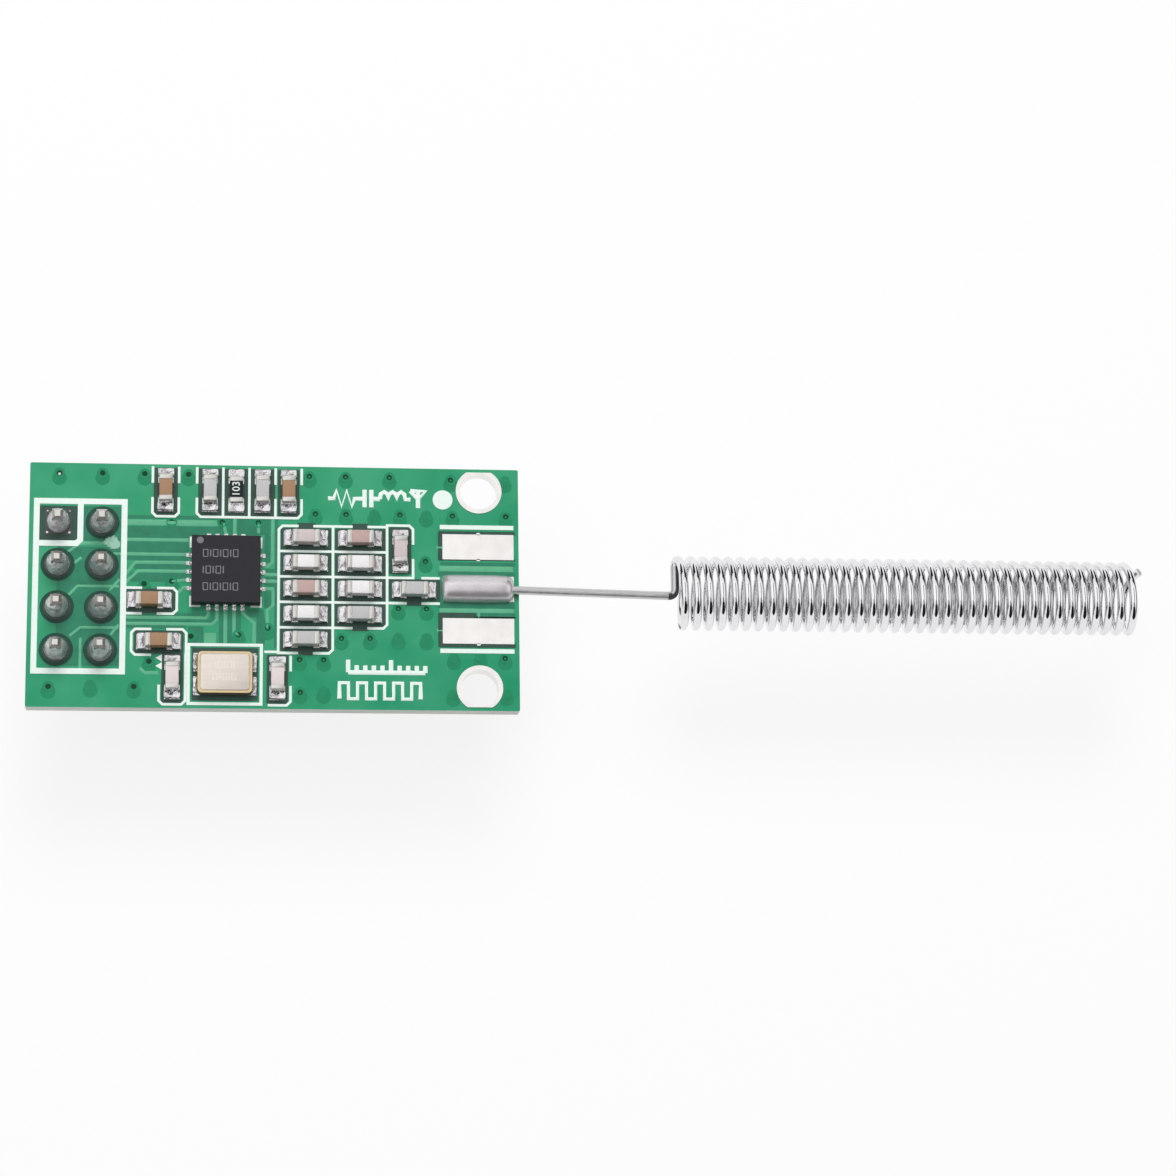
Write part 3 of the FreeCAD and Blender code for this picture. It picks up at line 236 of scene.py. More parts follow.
def board_finish():
    """Liquid solder mask cured over copper: glossy green with a faint orange peel, and
    pale layered glass-fibre laminate where the saw and the drill cut the edge."""
    code = colours()
    material, tree, surface, place = start("solder_mask_on_laminate", 0.3, **DIELECTRIC)
    # Painted sheen and shade: the mask is lighter at the upper left and deepens from there to the lower
    # right of the board, as the light falls on it.
    parts = add(tree, "ShaderNodeSeparateXYZ", {"Vector": place})
    across = add(tree, "ShaderNodeMapRange", {"Value": parts.outputs["X"], "From Min": -0.003,
                                              "From Max": 0.026, "To Max": 0.6}, "Result")
    down = add(tree, "ShaderNodeMapRange", {"Value": parts.outputs["Y"], "From Min": 0.006,
                                            "From Max": -0.006, "To Max": 0.6}, "Result")
    corner = add(tree, "ShaderNodeMath", {0: across, 1: down}, "Value", operation="ADD")
    green = add(tree, "ShaderNodeMix", {FACTOR: corner, FIRST: tuple(code.mask),
                                        SECOND: tuple(code.mask_painted_shade)}, MIXED, data_type="RGBA")
    # Clouds a few millimetres across, where the mask is a little thinner.
    cloud = add(tree, "ShaderNodeTexNoise", {"Vector": place, "Scale": grain(3.0), "Detail": 2.0,
                                             "Roughness": GRAININESS}, "Fac")
    cloud = add(tree, "ShaderNodeMapRange", {"Value": cloud, "From Min": 0.35, "From Max": 0.65}, "Result")
    pale = add(tree, "ShaderNodeMix", {FACTOR: 0.12, FIRST: green, SECOND: linear("#7CD3AB")}, MIXED,
               data_type="RGBA")
    green = add(tree, "ShaderNodeMix", {FACTOR: cloud, FIRST: green, SECOND: pale}, MIXED,
                data_type="RGBA")
    # Glass cloth shows as plies along the cut edge, each about a fifth of a millimetre.
    lying = add(tree, "ShaderNodeMapping", {"Vector": place, "Scale": (0.15, 0.15, 1.0)}, "Vector")
    plies = add(tree, "ShaderNodeTexNoise", {"Vector": lying, "Scale": grain(0.2), "Detail": 2.0,
                                             "Roughness": GRAININESS}, "Fac")
    plies = add(tree, "ShaderNodeMapRange", {"Value": plies, "From Min": 0.4, "From Max": 0.6}, "Result")
    sawn = add(tree, "ShaderNodeMix", {FACTOR: plies, FIRST: shade(code.laminate, 0.93),
                                       SECOND: tuple(code.laminate)}, MIXED, data_type="RGBA")
    # Faces that look up or down are masked; the others are sawn or drilled.
    normal = add(tree, "ShaderNodeTexCoord", out="Normal")
    upright = add(tree, "ShaderNodeSeparateXYZ", {"Vector": normal}, "Z")
    flat = add(tree, "ShaderNodeMath", {0: upright}, "Value", operation="ABSOLUTE")
    face = add(tree, "ShaderNodeMapRange", {"Value": flat, "From Min": 0.45, "From Max": 0.55}, "Result")
    both = add(tree, "ShaderNodeMix", {FACTOR: face, FIRST: sawn, SECOND: green}, MIXED,
               data_type="RGBA")
    tree.links.new(both, surface.inputs["Base Color"])
    gloss = add(tree, "ShaderNodeMapRange", {"Value": face, "To Min": 0.8, "To Max": 0.3}, "Result")
    tree.links.new(gloss, surface.inputs["Roughness"])
    peel = add(tree, "ShaderNodeTexNoise", {"Vector": place, "Scale": grain(0.35), "Detail": 2.0,
                                            "Roughness": GRAININESS}, "Fac")
    normal = add(tree, "ShaderNodeBump", {"Height": peel, "Distance": 0.006 * MM}, "Normal")
    tree.links.new(normal, surface.inputs["Normal"])
    return material


def skin_finish(name, code, change):
    """Solder mask over something other than the pour: the same gloss, another depth of green."""
    return plain(name, code, 0.32, 0.6, change, 0.004)


def solder_finish(name, code, rough, size, deep, change):
    """Tin alloy that froze from the melt: mirror-like, its surface drawn into soft ripples."""
    return plain(name, code, rough, size, change, deep, metal=1.0)


def ceramic_finish(name, code):
    """Barium titanate fired dense: even matt-satin body with a fine speckle."""
    material, tree, surface, place = start(name, 0.45, **DIELECTRIC)
    speckle, cloud = [
        add(tree, "ShaderNodeMapRange", {
            "Value": add(tree, "ShaderNodeTexNoise", {"Vector": place, "Scale": grain(size),
                                                      "Detail": 2.0, "Roughness": GRAININESS}, "Fac"),
            "From Min": low, "From Max": high}, "Result")
        for size, low, high in ((0.08, 0.35, 0.65), (0.6, 0.3, 0.7))]
    tint = add(tree, "ShaderNodeMix", {FACTOR: speckle, FIRST: shade(code, 0.93),
                                       SECOND: shade(code, 1.05)}, MIXED, data_type="RGBA")
    dull = add(tree, "ShaderNodeMix", {FACTOR: 0.5, FIRST: tint, SECOND: shade(code, 0.9)}, MIXED,
               data_type="RGBA")
    tint = add(tree, "ShaderNodeMix", {FACTOR: cloud, FIRST: tint, SECOND: dull}, MIXED,
               data_type="RGBA")
    tree.links.new(tint, surface.inputs["Base Color"])
    normal = add(tree, "ShaderNodeBump", {"Height": speckle, "Distance": 0.004 * MM}, "Normal")
    tree.links.new(normal, surface.inputs["Normal"])
    return material


def drawn_finish(name, code, rough):
    """Wire drawn through a die and plated: mirror-like with faint marks of the die."""
    material, tree, surface, place = start(name, rough, 1.0)
    cloud = add(tree, "ShaderNodeTexNoise", {"Vector": place, "Scale": grain(1.2), "Detail": 2.0,
                                             "Roughness": GRAININESS}, "Fac")
    cloud = add(tree, "ShaderNodeMapRange", {"Value": cloud, "From Min": 0.3, "From Max": 0.7}, "Result")
    tint = add(tree, "ShaderNodeMix", {FACTOR: cloud, FIRST: shade(code, 0.94),
                                       SECOND: shade(code, 1.03)}, MIXED, data_type="RGBA")
    tree.links.new(tint, surface.inputs["Base Color"])
    gloss = add(tree, "ShaderNodeMapRange", {"Value": cloud, "To Min": rough, "To Max": rough + 0.04},
                "Result")
    tree.links.new(gloss, surface.inputs["Roughness"])
    marks = add(tree, "ShaderNodeTexNoise", {"Vector": place, "Scale": grain(0.25), "Detail": 2.0,
                                             "Roughness": GRAININESS}, "Fac")
    normal = add(tree, "ShaderNodeBump", {"Height": marks, "Distance": 0.001 * MM}, "Normal")
    tree.links.new(normal, surface.inputs["Normal"])
    return material


FINISH = {}


def make_finishes():
    """Every material, once, by the name of what it is made of."""
    code = colours()
    FINISH["board"] = board_finish()
    FINISH["etched"] = skin_finish("mask_over_bare_laminate", code.etched, 0.1)
    FINISH["etched_deep"] = skin_finish("mask_in_land_gaps", code.etched_deep, 0.15)
    # Mask round the chips' lands: etched laminate, darkened further with painted shade.
    FINISH["box_mask_and_shade"] = skin_finish("mask_round_lands_and_shade", code.box_mask_and_shade, 0.12)
    FINISH["track"] = skin_finish("mask_over_track", code.track, 0.06)
    FINISH["via_ring"] = skin_finish("mask_over_via_ring", code.via_shade, 0.1)
    FINISH["via_shade"] = skin_finish("mask_over_lower_copper", code.via_shade, 0.06)
    # Unlit drilled barrel of a via, coated inside.
    FINISH["hole"] = plain("drilled_barrel", code.hole, 0.5, 0.1, 0.2, 0.0)
    # Screen-printed epoxy ink: matt, slightly uneven where the mesh lifted.
    FINISH["ink"] = plain("screen_printed_ink", code.ink, 0.6, 0.25, 0.03, 0.004)
    # Hot-air levelled tin: almost white, gently crowned.
    FINISH["tin"] = solder_finish("hot_air_levelled_tin", code.tin, 0.18, 0.8, 0.002, 0.02)
    # Solder paste melted in an oven: bright, in small ripples.
    FINISH["solder"] = solder_finish("reflowed_solder", code.solder, 0.12, 0.16, 0.05, 0.05)
    # Tin land darkened with painted shade: dark and half dull.
    FINISH["shaded_land"] = plain("land_in_painted_shade", code.shaded_land, 0.4, 0.3, 0.15, 0.01, metal=0.4)
    # Solder from an iron: greyer and dented, its flux skin half over it.
    FINISH["joint"] = plain("hand_soldered_tin", code.joint, 0.22, 0.36, 0.3, 0.13, metal=0.5)
    # A thick bead that cooled slowly: satin.
    FINISH["hump"] = plain("flowed_solder", code.hump, 0.32, 0.9, 0.06, 0.01, metal=0.65)
    # Electroplated tin: pale and almost matt.
    FINISH["cap"] = solder_finish("tin_plated_end_cap", code.cap, 0.34, 0.2, 0.012, 0.05)
    # Transfer-moulded epoxy filled with silica: near-black, fine even grain.
    FINISH["epoxy"] = plain("moulded_epoxy", code.epoxy, 0.55, 0.06, 0.12, 0.004)
    # Epoxy burnt by a laser: grey and matt.
    FINISH["mark"] = plain("laser_mark", code.mark, 0.8, 0.08, 0.12, 0.0)
    for name in ("brown", "pink", "rust", "cream", "grey", "white", "film"):
        FINISH[name] = ceramic_finish(f"{name}_chip_ceramic", getattr(code, name))
    FINISH["tray"] = ceramic_finish("fired_tray_ceramic", code.tray)
    # Thin gold on nickel: satin, warm.
    FINISH["gold"] = plain("gold_flashed_ring", code.gold, 0.3, 0.4, 0.05, 0.003, metal=1.0)
    # Rolled and nickel-plated lid: satin, rolled along its length.
    FINISH["lid"] = plain("nickel_plated_lid", code.lid, 0.42, 0.25, 0.05, 0.003, metal=0.85,
                          stretch=(0.25, 1.0, 1.0))
    FINISH["lid_mark"] = plain("lid_laser_mark", shade(code.lid, 1.08), 0.6, 0.1, 0.05, 0.0)
    # Glass-filled nylon, injection moulded: black with a dull, finely mottled skin.
    FINISH["plastic"] = plain("moulded_nylon", code.plastic, 0.5, 0.15, 0.2, 0.006)
    # Drawn brass pin, tin plated: bright, its faint marks lengthwise.
    FINISH["pin"] = plain("tin_plated_pin", code.pin, 0.26, 0.5, 0.04, 0.001, metal=1.0,
                          stretch=(1.0, 1.0, 0.2))
    # The wire's greyer, duller lead and cut end, and painted shade on the far side of the bend.
    FINISH["lead"] = plain("duller_grey_lead", code.lead, 0.4, 0.4, 0.05, 0.004, metal=0.9)
    FINISH["bend_shade"] = plain("painted_shade_bend", code.bend_shade, 0.38, 0.3, 0.1, 0.0, metal=0.9)
    FINISH["spring"] = drawn_finish("plated_spring_wire", code.spring, 0.05)
    # Rosin flux left by the iron: a thin milky film.
    FINISH["flux"] = plain("flux_residue", linear("#A9D9C3"), 0.5, 0.2, 0.14, 0.02, Alpha=0.75)


# ------------------------------------------------------------- modelling aids

def clear_selection():
    """Leave edit mode and deselect everything."""
    if bpy.context.mode != "OBJECT":
        bpy.ops.object.mode_set(mode="OBJECT")
    bpy.ops.object.select_all(action="DESELECT")


def pick(*pieces):
    """Select these pieces only, the first of them active."""
    clear_selection()
    for piece in pieces:
        piece.select_set(True)
    bpy.context.view_layer.objects.active = pieces[0]


def shape(piece):
    """Go into edit mode with all of a piece selected."""
    pick(piece)
    bpy.ops.object.mode_set(mode="EDIT")
    bpy.ops.mesh.select_mode(type="VERT")
    bpy.ops.mesh.select_all(action="SELECT")


def close(outward=False):
    """Leave edit mode, with faces turned outwards where asked."""
    if outward:
        bpy.ops.mesh.select_all(action="SELECT")
        bpy.ops.mesh.normals_make_consistent(inside=False)
    bpy.ops.object.mode_set(mode="OBJECT")


def select_faces(test):
    """In edit mode, select the faces whose middle and normal pass a test."""
    bpy.ops.mesh.select_mode(type="FACE")
    mesh = bmesh.from_edit_mesh(bpy.context.object.data)
    for face in mesh.faces:
        face.select_set(bool(test(face.calc_center_median() / MM, face.normal)))
    mesh.select_flush_mode()
    bmesh.update_edit_mesh(bpy.context.object.data)


def block(x, y, z, long, wide, high):
    """A block that stands at a height, in millimetres, in edit mode."""
    clear_selection()
    bpy.ops.mesh.primitive_cube_add(size=1, location=(x * MM, y * MM, (z + high / 2) * MM))
    piece = bpy.context.object
    piece.scale = (long * MM, wide * MM, high * MM)
    bpy.ops.object.transform_apply(location=True, rotation=True, scale=True)
    shape(piece)
    return piece


def tile(left, low, right, high, level, rise, corner=0.0):
    """A flat piece between two corners, raised from a level."""
    clear_selection()
    bpy.ops.mesh.primitive_plane_add(
        size=1, location=((left + right) / 2 * MM, (low + high) / 2 * MM, level * MM))
    piece = bpy.context.object
    piece.scale = ((right - left) * MM, (high - low) * MM, 1)
    bpy.ops.object.transform_apply(location=True, rotation=True, scale=True)
    shape(piece)
    if corner:
        bpy.ops.mesh.bevel(offset=corner * MM, segments=3, affect="VERTICES")
        bpy.ops.mesh.select_all(action="SELECT")
    bpy.ops.mesh.extrude_region_move(TRANSFORM_OT_translate={"value": (0, 0, rise * MM)})
    close(outward=True)
    return piece


def disc(x, y, width, level, rise, sides):
    """A round flat piece raised from a level."""
    clear_selection()
    bpy.ops.mesh.primitive_circle_add(vertices=sides, radius=width / 2 * MM, fill_type="NGON",
                                      location=(x * MM, y * MM, level * MM))
    piece = bpy.context.object
    bpy.ops.object.transform_apply(location=True, rotation=True, scale=True)
    shape(piece)
    bpy.ops.mesh.extrude_region_move(TRANSFORM_OT_translate={"value": (0, 0, rise * MM)})
    close(outward=True)
    return piece


def line(points, width, resolution=1):
    """A round bar along points, in millimetres: a drawn line given a thickness."""
    clear_selection()
    first = Vector(points[0]) * MM
    bpy.ops.mesh.primitive_plane_add(size=MM, location=first)
    piece = bpy.context.object
    bpy.ops.object.transform_apply(location=True, rotation=True, scale=True)
    shape(piece)
    bpy.ops.mesh.merge(type="CENTER")
    for here, there in zip(points, points[1:]):
        step = (Vector(there) - Vector(here)) * MM
        bpy.ops.mesh.extrude_vertices_move(TRANSFORM_OT_translate={"value": step})
    close()
    bpy.ops.object.convert(target="CURVE")
    bar = bpy.context.object
    bar.data.bevel_depth = width / 2 * MM
    bar.data.bevel_resolution = resolution
    bar.data.use_fill_caps = True
    bpy.ops.object.convert(target="MESH")
    return bpy.context.object


def strip(points, width, level, rise):
    """A flat track along points: a round bar pressed flat, so that its shoulders are soft."""
    piece = line([(x, y, level) for x, y in points], width, 2)
    shape(piece)
    bpy.ops.transform.resize(value=(1, 1, 2 * rise / width), center_override=(0, 0, level * MM))
    close(outward=True)
    return piece


def join(name, pieces):
    """Make several pieces one, under a name."""
    pick(*pieces)
    bpy.ops.object.join()
    piece = bpy.context.object
    piece.name = name
    piece.data.name = name
    return piece


def copy(master, x, y, z, degrees=0.0):
    """A copy with its own mesh, turned about Z and moved, its place put into the mesh."""
    pick(master)
    bpy.ops.object.duplicate(linked=False)
    piece = bpy.context.object
    piece.location = (x * MM, y * MM, z * MM)
    piece.rotation_euler = (0, 0, math.radians(degrees))
    bpy.ops.object.transform_apply(location=True, rotation=True, scale=True)
    return piece


def discard(*pieces):
    """Take away master pieces after the last copy."""
    for piece in pieces:
        bpy.data.objects.remove(piece)


def refine(piece, levels):
    """Round a piece with a subdivision surface, applied."""
    pick(piece)
    modifier = piece.modifiers.new("rounding", "SUBSURF")
    modifier.levels = modifier.render_levels = levels
    bpy.ops.object.modifier_apply(modifier=modifier.name)


def smooth(piece, degrees):
    """Shade a piece smooth, but for edges sharper than an angle."""
    pick(piece)
    bpy.ops.object.shade_smooth_by_angle(angle=math.radians(degrees))


def dress(piece, slot, *finishes, replaces=()):
    """Give a finished piece its materials, hang it from the root and hide the solids that it stands for; its
    slot is not used.
    """
    if finishes:
        piece.data.materials.clear()
        for name in finishes:
            piece.data.materials.append(FINISH[name])
    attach(piece, "root")
    if replaces:
        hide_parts(*replaces)
    return piece


def finish_node(name, *finishes):
    """Give a solid of the frame its material."""
    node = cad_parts[name]
    node.data.materials.clear()
    for finish in finishes:
        node.data.materials.append(FINISH[finish])


# ------------------------------------------------------------------ the board

NODE_FINISH = {
    "circuit_board": "board", "mounting_hole_rings": "tin", "header_lands": "shaded_land",
    "edge_ground_lands": "tin", "antenna_land": "joint", "legend": "ink", "chip_lands": "solder",
    "transceiver_package": "epoxy", "transceiver_leads": "tin", "transceiver_lands": "joint",
    "crystal_tray": "tray", "crystal_seal_ring": "gold", "crystal_lands": "solder",
    "header_insulator": "plastic",
}

# Where the copper is etched away: left, low, right and high edge.
ETCHED = [
    (2.62, 2.94, 6.9, 3.66), (2.62, 2.06, 6.3, 2.72), (2.62, 1.58, 6.3, 1.86), (2.62, 4.08, 11.55, 4.3),
    (3.1, 1.06, 6.3, 1.36), (2.9, 0.3, 6.3, 0.84), (2.62, -2.1, 7.8, -1.93), (2.62, -2.5, 6.2, -2.3),
    (2.62, -1.73, 7.4, -1.55), (6.2, 3.2, 8.25, 3.66), (8.6, 3.2, 8.84, 4.1), (9.1, 3.2, 11.05, 4.1),
    (11.3, -3.6, 11.5, 4.08), (7.6, -2.08, 7.86, -1.3), (8.08, -3.4, 8.34, -1.3), (8.58, -3.4, 8.85, -1.3),
    (9.08, -2.5, 9.36, -1.3), (9.7, -1.75, 10.7, -1.3), (10.27, -3.4, 10.76, -1.75), (6.3, -3.4, 7.2, -2.34),
    (10.7, -1.2, 11.1, -0.15), (10.7, 0.1, 11.45, 0.3), (10.7, 0.54, 11.45, 0.7), (10.7, 0.95, 11.45, 1.16),
    (10.7, 1.55, 11.05, 3.2), (-1.3, -4.75, 2.35, 2.35), (0.12, 2.7, 2.35, 4.8),
    (21.0, 1.5, 25.4, 1.72), (21.0, -1.6, 25.4, -1.32),
    (20.85, 0.85, 25.4, 1.16), (20.85, -1.08, 25.4, -0.68),
]
# The same inside the printed boxes and round the lands, darker still: etched laminate with painted shade of
# the chips over it.
BOX_SKINS_AND_SHADE = [
    (4.2, 4.3, 5.62, 7.2), (6.8, 4.3, 11.3, 7.2), (11.45, 4.3, 12.72, 7.2),
    (2.72, -1.58, 5.55, -0.1), (3.2, -4.0, 6.05, -2.6), (4.8, -6.95, 6.05, -3.98),
    (10.87, -6.9, 12.12, -3.98), (6.55, -6.75, 10.38, -3.6), (11.65, -3.75, 14.6, 3.66),
    (14.82, -2.25, 17.8, 3.66),
    (17.98, 0.95, 19.3, 3.78), (17.98, -0.68, 21.0, 0.66), (-2.36, 2.72, -0.18, 4.8),
    (20.86, 1.8, 21.25, 3.6), (21.0, 3.35, 25.42, 3.6), (21.0, 1.82, 25.42, 1.95),
    (20.86, -3.42, 21.25, -1.34), (21.0, -1.65, 23.1, -1.34), (23.0, -1.65, 25.42, -1.54),
    (21.0, -3.42, 25.42, -3.15),
]
# Where an open side of a printed box lets the mask run on.
BOX_MOUTHS = [
    (12.6, 3.6, 13.7, 3.98), (15.8, 3.6, 16.8, 3.98), (15.8, -2.5, 16.8, -2.2), (12.6, -4.0, 13.6, -3.7),
    (18.95, -0.95, 19.95, -0.62),
]
# How deep the skins are rooted in the board, and the rounding of their corners.
SKIN_ROOT = 0.02
SKIN_CORNER = 0.08
# Width of the dark gap round a round header land.
GAP_WIDTH = 1.98
# The header's lands, the square one first.
HEADER_PLACES = [(x, y) for y in (3.81, 1.27, -1.27, -3.81) for x in (-1.27, 1.27)]
# Tracks under the mask, by their corners.
TRACKS = [
    [(2.62, 2.83), (6.28, 2.83)],
    [(1.9, 1.96), (6.2, 1.96)],
    [(2.62, 0.7), (3.23, 1.47), (6.2, 1.47)],
    [(2.62, 0.2), (3.38, 0.95), (6.2, 0.95)],
    [(5.33, 0.35), (6.2, 0.44)],
    [(5.72, -0.32), (6.0, -0.03), (6.2, -0.03)],
    [(2.7, -1.83), (7.3, -1.83), (7.47, -1.62), (7.47, -1.3)],
    [(2.7, -2.2), (7.68, -2.2), (7.97, -1.9), (7.97, -1.3)],
    [(8.46, -1.3), (8.46, -3.5)],
    [(8.96, -1.3), (8.96, -2.6), (9.2, -2.82)],
    [(9.46, -1.3), (9.46, -1.5), (10.13, -2.1), (10.13, -3.5)],
    [(10.7, -0.03), (11.18, -0.03), (11.23, -0.3), (11.23, -1.0), (10.88, -1.32), (10.9, -2.4)],
    [(10.7, 1.28), (10.9, 1.28), (11.18, 1.6), (11.18, 4.2)],
    [(10.7, 0.82), (11.6, 0.82)],
    [(10.7, 0.42), (11.6, 0.42)],
    [(8.96, 4.2), (8.96, 3.2)],
    [(8.46, 3.2), (8.3, 3.9)],
    [(10.35, 3.9), (10.35, 3.3)],
    [(-0.62, -0.55), (-0.1, 0.0), (2.3, 0.0)],
    [(-0.5, -2.98), (0.1, -2.47), (2.3, -2.47)],
    [(0.1, 2.57), (1.5, 2.57)],
    [(0.12, -3.1), (0.12, -4.95)],
    [(1.75, -0.25), (2.32, 0.42)],
    [(-0.75, 2.0), (0.1, 2.6)],
    [(-0.35, 1.35), (0.1, 1.7)],
    [(1.85, -2.9), (2.3, -2.3)],
    [(3.55, -4.85), (3.85, -5.12), (4.62, -5.12)],
    [(20.78, 2.6), (21.15, 2.6)], [(20.78, -2.42), (21.15, -2.42)], [(23.25, -1.62), (23.25, -1.32)],
]
# Power and ground tracks, wider by this share.
WIDER = 1.7
WIDE_TRACKS = [[(2.62, 3.87), (8.0, 3.87)], [(20.95, 1.33), (25.3, 1.33)], [(20.95, -1.2), (25.3, -1.2)]]

# Vias, from the board's middle: open ones, then ones that the mask covers.
OPEN_VIAS = [
    (-12.6, 6.68), (-10.1, 6.72), (-7.65, 6.72), (-5.1, 6.72), (-6.05, 3.82), (-7.6, 0.07), (-6.0, 0.25),
    (-4.85, -3.03), (-7.25, -4.55), (-13.0, -6.1), (-8.1, -6.05), (-3.1, 3.85), (-1.0, 3.85), (1.97, 6.72),
    (4.1, 6.72), (2.33, 4.43), (4.13, 4.43), (-2.1, -2.92), (-0.4, -2.5), (1.45, -4.35), (2.85, -4.35),
    (3.88, -3.05), (1.5, -6.3), (6.68, 6.72), (10.3, 6.62), (7.3, 4.45), (10.4, 4.43), (13.55, 4.43),
    (8.8, 1.65), (7.2, -1.22), (8.85, -1.22), (5.55, -3.03), (13.45, -4.15),
]
COVERED_VIAS = [
    (-10.6, -6.0), (2.85, -6.25), (13.5, 6.6), (5.8, 4.43), (8.85, 4.43), (7.2, -3.0), (8.85, -3.0),
    (10.45, -4.15), (12.0, -4.1), (10.4, -6.35), (13.5, -6.3),
]
# How far below a via its copper on the lower face shows through the laminate.
SHADE_DROP = 0.3
SHADE_WIDTH = 0.86
# Spokes that tie the ground lands to the copper round them, by their middles.
SPOKES = ((23.24, 3.44), (23.24, 1.86), (23.24, -3.24))
VIA_SIDES = 28
# Drops of mask in the later vias, and the light spot in the first: widths, shifts and height.
PLUG_WIDTH, PLUG_DROP, FIRST_PLUG = 0.13, 0.03, 11
LIGHT_WIDTH, LIGHT_DROP = 0.14, 0.05
SPOT_RISE = SKIN_ROOT + 0.02


class MODULE_OT_board(bpy.types.Operator):
    """Finish the solids of the frame: board, lands, printed lines, packages, header"""
    bl_idname = "module.board"
    bl_label = "Board and solids"

    def execute(self, context):
        make_finishes()
        for node, finish in NODE_FINISH.items():
            finish_node(node, finish)
        for place in range(1, 9):
            finish_node(f"header_pin_{place}", "pin")
        return {"FINISHED"}


def lay_skin(place, rise):
    """A skin rooted in the board: round about a header land, else between two corners."""
    if len(place) == 2:
        return disc(*place, GAP_WIDTH, DECK - SKIN_ROOT, rise, 40)
    return tile(*place, DECK - SKIN_ROOT, rise, SKIN_CORNER)


class MODULE_OT_etched(bpy.types.Operator):
    """Lay the darker skin where the copper under the mask is etched away, with painted shade in the chips'
    boxes
    """
    bl_idname = "module.etched"
    bl_label = "Etched areas"

    def execute(self, context):
        # Each skin is rooted in the board and ends at its own height, so no two tops meet.
        height, step = sizes().etched_rise / MM, sizes().skin_step / MM
        groups = (
            ("etched_areas", "etched", ETCHED), ("box_skins_and_shade", "box_mask_and_shade", BOX_SKINS_AND_SHADE + BOX_MOUTHS),
            ("joint_gaps", "etched_deep", HEADER_PLACES[1:]),
        )
        for name, finish, places in groups:
            skins = []
            for place in places:
                skins.append(lay_skin(place, height + SKIN_ROOT))
                height += step
            dress(join(name, skins), "solder_mask", finish)
        return {"FINISHED"}


class MODULE_OT_tracks(bpy.types.Operator):
    """Draw the copper tracks that raise the mask"""
    bl_idname = "module.tracks"
    bl_label = "Tracks"

    def execute(self, context):
        width, rise = sizes().track_width / MM, sizes().track_rise / MM
        strips = [strip(points, width, DECK, rise) for points in TRACKS]
        strips += [strip(points, WIDER * width, DECK, rise) for points in WIDE_TRACKS]
        # A small square of copper below the package.
        strips.append(tile(7.25, -3.35, 7.92, -2.72, DECK, rise * 0.6, 0.06))
        piece = join("tracks", strips)
        smooth(piece, 60)
        dress(piece, "solder_mask", "track")
        spokes = [tile(x - 0.11, y - 0.07, x + 0.11, y + 0.07, DECK, LAND_TOP - DECK, 0.06)
                  for x, y in SPOKES]
        dress(join("land_spokes", spokes), "solder", "tin")
        return {"FINISHED"}


def model_via(wide, rise, rim, step):
    """A disc whose middle, within a rim, stands higher or lower by a step."""
    piece = disc(0, 0, wide, 0, rise, VIA_SIDES)
    shape(piece)
    select_faces(lambda middle, normal: normal.z > FACING)
    bpy.ops.mesh.inset(thickness=rim * MM)
    bpy.ops.transform.translate(value=(0, 0, step * MM))
    close()
    return piece


class MODULE_OT_vias(bpy.types.Operator):
    """Place the vias, open and covered, with the copper that shows below them"""
    bl_idname = "module.vias"
    bl_label = "Vias"

    def execute(self, context):
        size = sizes()
        wide, hole = size.via_width / MM, size.via_hole / MM
        ring = model_via(wide, 0.014, (wide - hole) / 2, -0.006)
        ring.data.materials.append(FINISH["via_ring"])
        ring.data.materials.append(FINISH["hole"])
        centre = max(ring.data.polygons, key=lambda face: face.normal.z - face.center.length / MM)
        centre.material_index = 1
        lid = model_via(wide, 0.012, 0.16, 0.006)
        lid.data.materials.append(FINISH["via_shade"])
        open_rings = [copy(ring, BOARD_X + x, BOARD_Y + y, DECK + 0.004) for x, y in OPEN_VIAS]
        covered = [copy(lid, BOARD_X + x, BOARD_Y + y, DECK) for x, y in COVERED_VIAS]
        shades = [disc(BOARD_X + x, BOARD_Y + y - SHADE_DROP, SHADE_WIDTH, DECK - SKIN_ROOT,
                       SKIN_ROOT + 0.002, VIA_SIDES)
                  for x, y in OPEN_VIAS + COVERED_VIAS]
        discard(ring, lid)
        dress(join("via_rings", open_rings), "solder_mask")
        plugs = [disc(BOARD_X + x, BOARD_Y + y - PLUG_DROP, PLUG_WIDTH, DECK - SKIN_ROOT, SPOT_RISE, 10)
                 for x, y in OPEN_VIAS[FIRST_PLUG:]]
        dress(join("via_plugs", plugs), "solder_mask", "via_ring")
        # Painted light: a white ink spot in the first via stands for light shining through its hole.
        x, y = OPEN_VIAS[0]
        first = disc(BOARD_X + x, BOARD_Y + y - LIGHT_DROP, LIGHT_WIDTH, DECK - SKIN_ROOT, SPOT_RISE, 12)
        first.name = "first_via_light"
        dress(first, "solder_mask", "ink")
        dress(join("covered_vias", covered), "solder_mask")
        dress(join("via_shades", shades), "solder_mask", "via_shade")
        return {"FINISHED"}


# ------------------------------------------------------------------ the print

